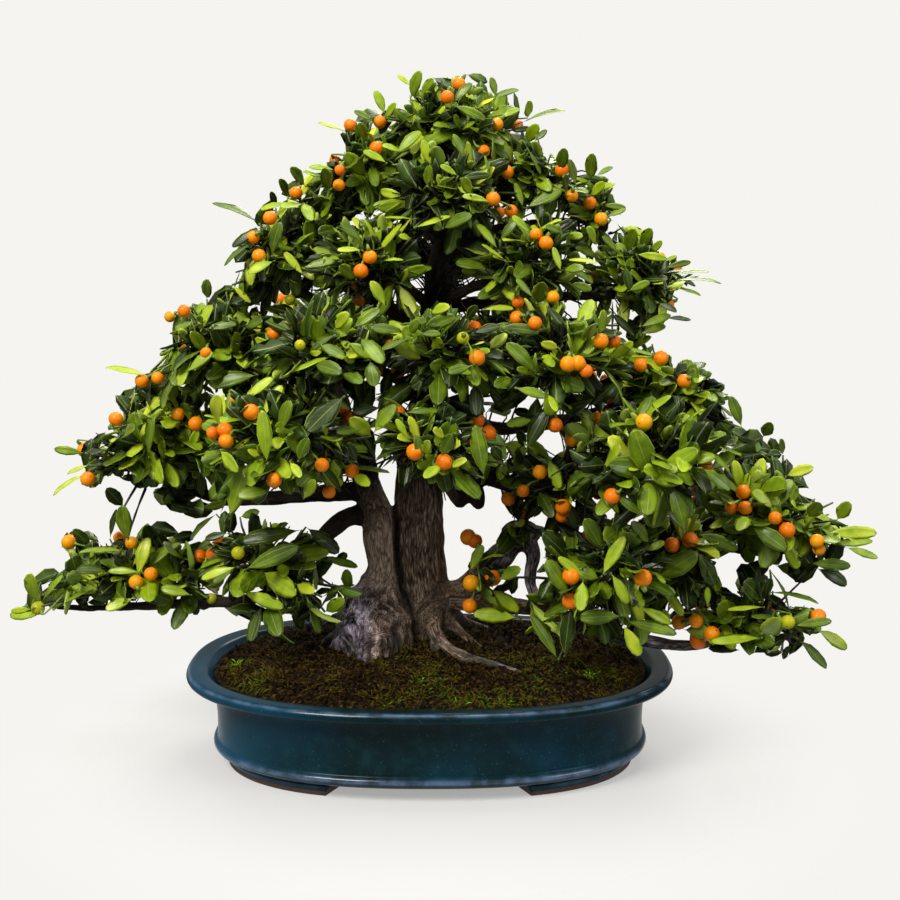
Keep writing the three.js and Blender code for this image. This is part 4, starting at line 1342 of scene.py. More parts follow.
@dataclass
class Skeleton:
    """All limbs' centre lines, with their radii and the directions across them."""

    lines: dict[str, np.ndarray] = field(default_factory=dict)
    apart: float = 97.0  # mm by which the grain of one limb starts after that of the one before

    def __post_init__(self) -> None:
        """Lays out the lines and their carried directions, one limb after the other."""
        self.lines = {name: limb.line(index) for index, (name, limb) in enumerate(WOOD.items())}
        frames = [carried_frames(line[:, :3]) for line in self.lines.values()]
        stations = np.concatenate(list(self.lines.values()))
        self.place, self.radius = stations[:, :3], stations[:, 3]
        self.tangent, self.side, self.other = (np.concatenate(group) for group in zip(*frames))
        self.owner = np.repeat(np.arange(len(self.lines)), [len(line) for line in self.lines.values()])
        self.walked = np.concatenate([walked(line[:, :3]) + self.apart * index
                                      for index, line in enumerate(self.lines.values())])

    def gaps(self, points: np.ndarray) -> np.ndarray:
        """Distance from each place to the bark round each station: one row a place, one column a station."""
        squares = (points ** 2).sum(1)[:, None] + (self.place ** 2).sum(1)[None] - 2 * points @ self.place.T
        return np.sqrt(np.maximum(squares, 0)) - self.radius

    def clearance(self, points: np.ndarray) -> np.ndarray:
        """Distance from each place to the nearest bark."""
        return np.concatenate([self.gaps(part).min(1) for part in in_parts(points)])

    def grain(self, points: np.ndarray) -> np.ndarray:
        """Coordinates that follow the limbs: two across the nearest one and one along it, all in mm.

        Near a fork the coordinates of the two nearest limbs are blended, so that the grain has no seam.

        Args:
            points: places in mm.

        Returns:
            One row of three coordinates for each place.
        """
        parts = []
        for part in in_parts(points):
            gap = self.gaps(part)
            rows = np.arange(len(part))
            first = gap.argmin(1)
            least = gap[rows, first]
            gap[self.owner[None] == self.owner[first][:, None]] = np.inf
            second = gap.argmin(1)
            share = (0.5 + 0.5 * smooth_step(0, 7, gap[rows, second] - least))[:, None]
            parts.append(self.local(part, first) * share + self.local(part, second) * (1 - share))
        return np.concatenate(parts)

    def local(self, points: np.ndarray, station: np.ndarray) -> np.ndarray:
        """Coordinates of places across and along the limb at given stations."""
        offset = points - self.place[station]
        across, over, along = (np.einsum("ij,ij->i", offset, way[station])
                               for way in (self.side, self.other, self.tangent))
        return np.column_stack([across, over, along + self.walked[station]])


@dataclass
class Wood:
    """Trunks, roots and limbs, grown together and covered in ridged bark."""

    skeleton: Skeleton
    voxels: dict[WoodPart, float] = field(default_factory=lambda: {WoodPart.BASE: 1.65, WoodPart.LIMBS: 2.4})
    burl_middle: tuple[float, float] = (-54.0, -24.0)

    def tubes(self, part: WoodPart) -> Shell:
        """Tubes of one part's limbs. A lobed limb's radius is r (1 + l cos(3 a + z) + 0.6 l cos(2 a - z))."""
        shell = Shell()
        for name, limb in WOOD.items():
            if limb.part is not part:
                continue
            line = self.skeleton.lines[name]
            sides = 36 if line[:, 3].max() > 18 else 20
            angle = round_angles(sides)
            turn = np.arange(len(line))[:, None] * 0.09
            swell = limb.lobes * (np.cos(3 * angle + turn) + 0.6 * np.cos(2 * angle - turn))
            shell.add(*tube(line[:, :3], line[:, 3][:, None] * (1 + swell), sides))
        return shell

    def crease(self, points: np.ndarray) -> np.ndarray:
        """Share of the groove between the trunks, which is cut in and painted with shade: exp(-(a - b)
        squared / 16), a and b their distances.
        """
        names = list(WOOD)
        found = []
        for part in in_parts(points):
            gap = self.skeleton.gaps(part)
            one, two = (gap[:, self.skeleton.owner == names.index(name)].min(1)
                        for name in ("trunk", "second_trunk"))
            found.append(np.exp(-((one - two) / 4) ** 2) * smooth_step(9, 3, np.minimum(one, two)))
        return np.concatenate(found) * smooth_step(262, 236, points[:, 2])

    def ridges(self, points: np.ndarray, grain: np.ndarray) -> tuple[np.ndarray, np.ndarray, np.ndarray]:
        """Relief of the bark.

        Old bark has plates between grooves: |2 n - 1| of a noise that is stretched along the grain. The
        burl has crests, 1 - |2 n - 1|, of two wider noises that another bends, so that it hangs in strings.

        Args:
            points: places in mm.
            grain: their coordinates across and along the limbs.

        Returns:
            Ridge from 0 to 1, share of burl, and outward shift in mm.
        """
        reach = np.hypot(points[:, 0] - self.burl_middle[0], points[:, 1] - self.burl_middle[1])
        burl = smooth_step(72, 50, reach) * smooth_step(196, 158, points[:, 2])
        burl *= smooth_step(-16, -34, points[:, 0] + 0.12 * (points[:, 2] - 140))
        roots = smooth_step(140, 126, points[:, 2]) * smooth_step(-4, 4, points[:, 0])
        roots = roots * smooth_step(-30, -44, points[:, 1])
        warp = np.column_stack([
            Noise(Seed.BARK_WARP + axis).fractal(points / 26, 2) for axis in range(3)]) - 0.5

        def creases(start: Seed, place: np.ndarray, size: list[float]) -> np.ndarray:
            """Creased noise |2 n - 1|, which is 0 along winding lines."""
            return np.abs(2 * Noise(start).fractal(place / size, 2) - 1)

        plate = smooth_step(0.0, 0.26, creases(Seed.BARK_PLATES, grain + warp * 6, [3.3, 3.3, 24]))
        fine = Noise(Seed.BARK_GRAIN).fractal(grain / [2.2, 2.2, 9], 2)
        folds = 1 - creases(Seed.BURL_FOLDS, points + warp * 22, [7.0, 7.0, 40])
        strings = 1 - creases(Seed.BURL_STRINGS, points + warp * 22, [3.0, 3.0, 30])
        fold = 0.6 * smooth_step(0.4, 1.0, folds) + 0.4 * smooth_step(0.45, 1.0, strings)
        ridge_old = 0.62 * plate + 0.38 * fine
        ridge_burl = 0.88 * fold + 0.12 * fine
        lump = Noise(Seed.BARK_LUMPS).fractal(points / 15, 2) - 0.5
        radius = np.clip(np.hypot(grain[:, 0], grain[:, 1]), 3, 26)
        depth = 0.3 + radius * 0.038
        shift = (ridge_old - 0.6) * depth * 1.2 + lump * radius * 0.15
        shift_burl = (ridge_burl - 0.5) * 3.4 + lump * 5.0
        arch = smooth_step(52, 66, points[:, 0]) * smooth_step(160, 172, points[:, 2]) * (points[:, 2] < 250)
        silver = np.maximum(burl, np.maximum(roots * 0.75, arch * 0.7))
        return ridge_old * (1 - burl) + ridge_burl * burl, silver, shift * (1 - burl) + shift_burl * burl

    def tones(self, points: np.ndarray, part: WoodPart) -> dict[str, np.ndarray]:
        """Shares of the bark's tones: each is a product of steps across the tree and up it.

        Args:
            points: places in mm.
            part: which of the two pieces they lie on.

        Returns:
            A share for each place, by the name of the tone.
        """
        x, z = points[:, 0], points[:, 2]
        low = smooth_step(140, 108, z)
        return {
            "shade": smooth_step(-46, -28, x) * smooth_step(14, 2, x) * low * 0.8,
            # Partly the burl's own grey and partly a painted highlight on its lit left flank and on the wood
            # right of x = 40 mm.
            "lilac": np.maximum(smooth_step(-50, -68, x), smooth_step(40, 60, x)),
            "rust": smooth_step(-12, 16, x) * smooth_step(30, 20, x) * smooth_step(150, 180, z)
            * smooth_step(320, 250, z),
            # Smooth neck of the second trunk, painted paler partly as a highlight.
            "smooth": smooth_step(-30, -40, x) * smooth_step(158, 178, z) * smooth_step(252, 225, z),
            # Painted shade under the leaves: the trunks darken from 246 mm up, and all limbs throughout.
            "aged": smooth_step(246, 300, z) if part is WoodPart.BASE else np.ones(len(points)),
            "damp": low,
        }

    def build(self) -> None:
        """Makes the two bark pieces: tubes fused on a grid of small cubes, then moved along their normals."""
        bark = TreeBark().material()
        for part, voxel in self.voxels.items():
            rough = self.tubes(part).piece(part.value, [bark])
            fuse = rough.modifiers.new("fuse", "REMESH")
            fuse.mode = "VOXEL"
            fuse.voxel_size = voxel * MM
            relax = rough.modifiers.new("relax", "SMOOTH")
            relax.iterations = 2
            relax.factor = 0.5
            mesh = applied(rough)
            rough.modifiers.clear()
            rough.data = mesh
            count = len(mesh.vertices)
            points = np.empty(count * 3, np.float32)
            mesh.vertices.foreach_get("co", points)
            points = points.reshape(-1, 3).astype(float) / MM
            normals = np.empty(count * 3, np.float32)
            mesh.vertices.foreach_get("normal", normals)
            grain = self.skeleton.grain(points)
            ridge, silver, shift = self.ridges(points, grain)
            crease = self.crease(points)
            shift = shift - crease * 3.5
            mesh.vertices.foreach_set("co", ((points + normals.reshape(-1, 3) * shift[:, None]) * MM).ravel())
            tones = self.tones(points, part)
            # Painted shade: the groove between the trunks and the burl's low right side are darkened.
            values = {"ridge": ridge, "burl": silver, "crease": np.maximum(crease, tones.pop("shade")),
                      **tones,
                      "grain": grain * [MM, MM, MM / 9]}
            for name, value in values.items():
                store(mesh, name, value)
            mesh.polygons.foreach_set("use_smooth", np.ones(len(mesh.polygons), bool))
            mesh.update()
            seat(rough, "wood", "wood")


# Foliage and fruit


@dataclass
class Leaves:
    """Many leaves: base, forward and normal directions, and sizes, one row or number for each leaf."""

    base: np.ndarray
    forward: np.ndarray
    normal: np.ndarray
    length: np.ndarray
    width: np.ndarray
    arch: np.ndarray
    fold: np.ndarray
    twist: np.ndarray
    tint: np.ndarray

    def kept(self, mask: np.ndarray) -> "Leaves":
        """Only the leaves where the mask is true."""
        return Leaves(**{name: value[mask] for name, value in vars(self).items()})

    def along(self, share: float) -> np.ndarray:
        """Places at a share of each leaf's length, on its straight line."""
        return self.base + self.forward * (self.length * share)[:, None]

    def with_others(self, others: "Leaves") -> "Leaves":
        """These leaves and others."""
        return Leaves(**{name: np.concatenate([value, getattr(others, name)])
                         for name, value in vars(self).items()})

    def surface(self, stations: tuple[float, ...], spread: tuple[float, ...]) -> dict[str, np.ndarray]:
        """Closed blades on a grid of stations along and places across, with one more place below the midrib.

        The half width at share t is w / 2 times the smooth step of t from 0.05 to 0.5, and past t = 0.55
        times the root of 1 - ((t - 0.55) / 0.45) squared. The midrib bends by an arch angle, as an arc of
        a circle does, and the blade folds up from it and twists about it.

        Args:
            stations: shares of the length.
            spread: places across, from -1 to 1.

        Returns:
            points, faces, slots, across, along and tint.
        """
        count, rows, columns = len(self.base), len(stations), len(spread) + 1
        t = np.array(stations)[None, :]
        tapered = np.clip(1 - (np.maximum(t - 0.55, 0) / 0.45) ** 2, 0, 1)
        half = smooth_step(0.05, 0.5, t) ** 0.8 * np.sqrt(tapered)
        half = half * self.width[:, None] / 2
        across, normal = across_of(self.forward, self.normal)
        arch = np.where(np.abs(self.arch) < 1e-3, 1e-3, self.arch)[:, None]

        def spine_at(share: np.ndarray) -> np.ndarray:
            """Places on the arched midrib: length (sin(a t) forward - (1 - cos(a t)) normal) / a."""
            forward_part = (np.sin(arch * share) / arch)[..., None] * self.forward[:, None]
            normal_part = ((1 - np.cos(arch * share)) / arch)[..., None] * normal[:, None]
            return self.base[:, None] + (forward_part - normal_part) * self.length[:, None, None]

        spine = spine_at(np.broadcast_to(t, (count, rows)))
        bend = (arch * t)[..., None]
        level = np.cos(bend) * normal[:, None] + np.sin(bend) * self.forward[:, None]
        turn = (self.twist[:, None] * t)[..., None]
        sideways = np.cos(turn) * across[:, None] + np.sin(turn) * level
        level = np.cos(turn) * level - np.sin(turn) * across[:, None]
        place = np.array([*spread, 0.0])
        wave = 0.10 * np.sin(9 * t + self.base[:, :1])[..., None] * place ** 2
        fold = self.fold[:, None, None]
        out = half[..., None] * place * np.cos(fold)
        lift = half[..., None] * (np.abs(place) * np.sin(fold) + wave + 0.10 * (np.abs(place) - place ** 2))
        lift[..., -1] -= 0.7
        rings = (spine[:, :, None] + sideways[:, :, None] * out[..., None]
                 + level[:, :, None] * lift[..., None])
        ends = spine_at(np.tile([0.0, 1.0], (count, 1)))
        points = np.concatenate([rings.reshape(count, -1, 3), ends], axis=1)
        one = outward(points[0], capped_faces(rows, columns))
        below = (one % columns == columns - 1) & (one < rows * columns)
        slots = below.any(axis=1).astype(int)
        size = points.shape[1]
        return {
            "points": points.reshape(-1, 3),
            "faces": copied_faces(one, size, count),
            "slots": np.tile(slots, count),
            "across": np.tile(np.concatenate([np.tile(place, rows), [0, 0]]), count),
            "along": np.tile(np.concatenate([np.repeat(t[0], columns), [0, 1]]), count),
            "tint": np.repeat(self.tint, size),
        }


@dataclass(frozen=True)
class Spray:
    """One leafy mass: middle and reach of its leaf tips in mm, and tips of shoots that stand out of it."""

    name: str
    middle: tuple[float, float, float]
    reach: tuple[float, float, float]
    tips: tuple[tuple[float, float, float], ...] = ()
    fill: float = 1.0

    @property
    def centre(self) -> np.ndarray:
        """Its middle as a vector."""
        return np.array(self.middle, float)

    @property
    def half(self) -> np.ndarray:
        """Its reach as a vector."""
        return np.array(self.reach, float)

    @property
    def area(self) -> float:
        """Sum of the products of its reaches, two by two, which grows as its surface does."""
        a, b, c = self.reach
        return a * b + a * c + b * c


SPRAYS: tuple[Spray, ...] = (
    Spray("crown", (22, 0, 618), (78, 70, 52), ((-26, 0, 671), (37, -6, 673), (-46, -14, 653))),
    Spray("crown_left", (-68, -8, 580), (64, 60, 52), ((-104, -10, 621),)),
    Spray("crown_right", (110, 0, 568), (64, 58, 52), ((129, 0, 630),)),
    Spray("crown_front", (18, -68, 552), (70, 50, 52)),
    Spray("crown_back", (22, 78, 566), (78, 56, 54)),
    Spray("left_second", (-142, -18, 500), (76, 64, 58), ((-209, 0, 547),)),
    Spray("right_second", (212, 0, 470), (72, 64, 54), ((284, 0, 472), (266, -20, 490))),
    Spray("right_third", (172, 14, 530), (50, 52, 46)),
    Spray("second_front_left", (-52, -64, 486), (60, 52, 56)),
    Spray("second_front_right", (92, -64, 484), (64, 52, 58)),
    Spray("second_back", (12, 120, 494), (96, 66, 60)),
    Spray("left_third", (-210, 0, 408), (80, 72, 58)),
    Spray("upper_front_left", (-92, -104, 410), (74, 64, 56)),
    Spray("upper_front", (14, -124, 410), (62, 62, 50)),
    Spray("upper_front_right", (118, -104, 404), (72, 64, 58)),
    Spray("right_upper", (240, 0, 364), (82, 74, 60), ((299, 0, 396),)),
    Spray("upper_back_left", (-112, 128, 410), (92, 74, 60)),
    Spray("upper_back_right", (118, 128, 410), (92, 74, 60)),
    Spray("left_long", (-276, 10, 308), (94, 84, 60), ((-317, 0, 386), (-374, 10, 300), (-374, 10, 258))),
    Spray("left_middle", (-166, 4, 334), (62, 60, 54)),
    Spray("left_front", (-128, -126, 336), (82, 76, 60), ((-140, -213, 322),)),
    Spray("left_back", (-160, 130, 304), (98, 74, 58), ((-180, 213, 300),)),
    Spray("low_front", (8, -140, 332), (60, 54, 46), fill=0.8),
    Spray("right_long", (342, -4, 244), (94, 84, 62), ((434, -40, 212), (384, 0, 296))),
    Spray("right_near", (128, -44, 280), (62, 56, 46)),
    Spray("right_front", (196, -124, 316), (86, 78, 62), ((190, -213, 300),)),
    Spray("right_back", (214, 132, 288), (92, 74, 52), ((230, 213, 286),)),
    Spray("low_left", (-298, 18, 176), (98, 72, 44), ((-434, 42, 136), (-404, 36, 184), (-302, 20, 246))),
    Spray("left_inner", (-158, -42, 206), (68, 62, 52)),
    Spray("low_right", (326, -30, 152), (88, 76, 46), ((408, -40, 116), (386, -50, 102))),
    Spray("low_right_riser", (248, -42, 204), (62, 60, 50)),
    Spray("right_inner", (164, -98, 208), (70, 64, 54)),
    Spray("arch_tuft", (90, -31, 243), (30, 30, 30)),
    Spray("arch_sprout", (48, -34, 190), (30, 34, 34), fill=0.0),
)
MIDDLES = np.array([spray.middle for spray in SPRAYS], float)
REACHES = np.array([spray.reach for spray in SPRAYS], float)

# Where fruits hang on the side that faces the camera, as places across and down in its frame.
FRONT_FRUITS: tuple[tuple[float, float], ...] = (
    (459, 84), (447, 97), (350, 125), (380, 122), (497, 124), (507, 172), (484, 151), (572, 196),
    (562, 170), (590, 203), (601, 219), (270, 218), (253, 237), (259, 256), (296, 193), (340, 170),
    (339, 185), (376, 148), (370, 257), (361, 271), (184, 311), (206, 353), (158, 378), (142, 381),
    (178, 414), (196, 424), (225, 430), (213, 433), (226, 441), (251, 412), (88, 479), (116, 419),
    (322, 465), (352, 471), (329, 492), (274, 480), (398, 412), (415, 452), (444, 462), (477, 358),
    (518, 302), (517, 318), (493, 199), (511, 211), (536, 234), (546, 243), (553, 297), (568, 364),
    (578, 363), (586, 371), (614, 341), (661, 358), (601, 341), (684, 381), (644, 422), (555, 425),
    (540, 472), (612, 496), (743, 492), (731, 508), (745, 508), (787, 530), (775, 518), (817, 541),
    (819, 549), (523, 491), (508, 499), (563, 507), (562, 516), (468, 537), (475, 541), (471, 583),
    (493, 578), (470, 606), (571, 576), (570, 601), (643, 578), (672, 545), (690, 540), (696, 621),
    (698, 641), (712, 634), (679, 622), (818, 617), (69, 542), (132, 543), (136, 582), (151, 574),
    (200, 556), (641, 365), (535, 323),
)
GREEN_FRUITS: tuple[tuple[float, float], ...] = (
    (300, 345), (290, 300), (463, 338), (788, 622), (238, 553), (212, 599), (38, 608),
)


# Shoots that shape the outline and the gaps: places across and down in the camera's frame, depth y in
# mm, the way they grow in the picture, in degrees up from the right, and their number of leaves.
FRONT_SHOOTS: tuple[tuple[float, float, float, float, int], ...] = (
    (352, 132, 0, 168, 4), (532, 118, 0, 18, 4), (412, 96, 0, 100, 4), (384, 106, -10, 118, 3),
    (250, 214, 0, 165, 4), (226, 292, 0, 130, 5), (142, 374, 0, 170, 4), (88, 456, 5, 178, 4),
    (92, 480, 0, 200, 4), (48, 602, 30, 98, 3), (42, 612, 30, 184, 2), (127, 534, 0, 92, 4),
    (262, 548, -40, 20, 4), (318, 560, -60, -32, 5), (304, 602, -60, -85, 4), (336, 588, -50, -60, 4),
    (264, 618, -80, -95, 3), (752, 444, 0, 58, 5), (846, 556, -10, -14, 4), (818, 634, -40, -28, 4),
    (634, 608, -70, -62, 4), (600, 618, -90, -80, 4), (560, 622, -100, -98, 4), (582, 596, -110, -40, 5),
    (536, 452, -60, 80, 4), (200, 508, -10, -10, 4), (168, 504, 0, 190, 4), (478, 562, -52, 85, 2),
    (492, 586, -60, 20, 1), (490, 598, -62, -30, 1), (500, 608, -64, 175, 1), (530, 604, -80, -70, 3),
    (345, 206, -20, 100, 5), (376, 210, -30, 60, 5), (256, 293, -20, 110, 5), (190, 390, -10, 150, 5),
    (216, 392, -20, 90, 5), (368, 396, -60, 120, 5), (376, 420, -70, 60, 4), (472, 398, -40, 70, 5),
    (494, 408, -30, 30, 4), (506, 446, -40, -20, 4), (732, 432, 0, 120, 5), (622, 512, -80, 60, 5),
    (640, 522, -70, 0, 5), (668, 612, -60, 30, 5), (650, 628, -60, -40, 4), (684, 630, -50, -20, 4),
    (776, 566, -10, -30, 4), (712, 444, 0, 40, 5), (300, 470, -60, -60, 5), (250, 476, -70, -90, 4),
    (345, 452, -50, -50, 4), (590, 606, -70, -60, 5), (612, 600, -60, -100, 5), (640, 622, -56, -80, 5),
    (660, 606, -50, -60, 5), (672, 636, -50, -100, 4), (560, 600, -80, -110, 4), (345, 196, -10, 80, 5),
    (362, 206, -20, 100, 5), (330, 212, -20, 110, 5), (430, 216, -40, 80, 5), (452, 232, -40, 60, 4),
    (636, 330, -10, 30, 5), (652, 344, -10, -10, 4), (530, 300, -30, 100, 4), (598, 256, -20, 60, 4),
    (620, 306, 0, -40, 4),
)

# The tree's outline from the front, as places in the camera's frame, which leaves placed by rule keep to.
TRIM_LINE: tuple[tuple[float, float], ...] = (
    (8, 618), (8, 604), (26, 600), (29, 570), (38, 564), (48, 570), (62, 572), (72, 566), (60, 552),
    (60, 536), (68, 526), (86, 528), (96, 540), (106, 546), (104, 520), (110, 490), (104, 480), (96, 482),
    (88, 487), (81, 480), (86, 466), (78, 462), (88, 459), (84, 452), (84, 443), (92, 436), (96, 429),
    (104, 428), (112, 431), (111, 420), (122, 417), (124, 412), (122, 405), (108, 402), (118, 394),
    (122, 387), (136, 385), (137, 378), (152, 374), (158, 366), (154, 358), (166, 348), (177, 344),
    (176, 333), (162, 331), (172, 325), (166, 316), (178, 316), (181, 309), (190, 310), (199, 302),
    (216, 292), (226, 281), (240, 279), (249, 266), (247, 257), (234, 259), (230, 252), (238, 237),
    (250, 227), (260, 224), (261, 214), (268, 208), (270, 196), (277, 190), (279, 180), (289, 177),
    (291, 170), (297, 168), (304, 172), (317, 175), (319, 166), (330, 164), (332, 157), (346, 152),
    (350, 146), (349, 140), (338, 138), (340, 131), (345, 121), (356, 120), (366, 115), (372, 109),
    (384, 108), (396, 104), (399, 109), (409, 105), (411, 98), (409, 88), (413, 79), (420, 72), (424, 79),
    (432, 76), (450, 74), (468, 70), (482, 78), (496, 84), (498, 90), (510, 88), (518, 92), (516, 99),
    (522, 105), (532, 106), (525, 118), (525, 124), (538, 125), (546, 130), (543, 138), (540, 146),
    (545, 156), (556, 154), (565, 152), (567, 164), (569, 172), (571, 184), (581, 184), (584, 163),
    (591, 156), (598, 167), (608, 168), (607, 176), (611, 186), (607, 194), (607, 203), (612, 206),
    (608, 216), (606, 223), (599, 224), (601, 233), (613, 242), (624, 240), (626, 231), (634, 228),
    (645, 228), (652, 239), (660, 241), (661, 253), (676, 256), (684, 262), (682, 269), (698, 273),
    (700, 282), (690, 290), (677, 288), (671, 298), (664, 301), (674, 312), (684, 318), (667, 325),
    (664, 331), (650, 336), (652, 349), (668, 356), (680, 358), (700, 359), (702, 368), (710, 374),
    (726, 379), (731, 391), (722, 402), (728, 414), (733, 427), (758, 426), (771, 437), (784, 450),
    (786, 462), (786, 474), (798, 478), (803, 486), (801, 496), (812, 496), (821, 503), (827, 517),
    (842, 520), (866, 530), (866, 546), (850, 552), (836, 550), (838, 560), (822, 570), (812, 577),
    (802, 576), (796, 582), (774, 571), (784, 588), (770, 594), (784, 608), (800, 608), (820, 610),
    (831, 621), (812, 629), (800, 640), (802, 652), (789, 662), (776, 656), (760, 658), (730, 653),
    (712, 649), (697, 658), (688, 648), (676, 644), (660, 637), (600, 680), (262, 652), (250, 616),
    (228, 608), (196, 613), (160, 613), (124, 605), (90, 608), (60, 612), (36, 614),
)


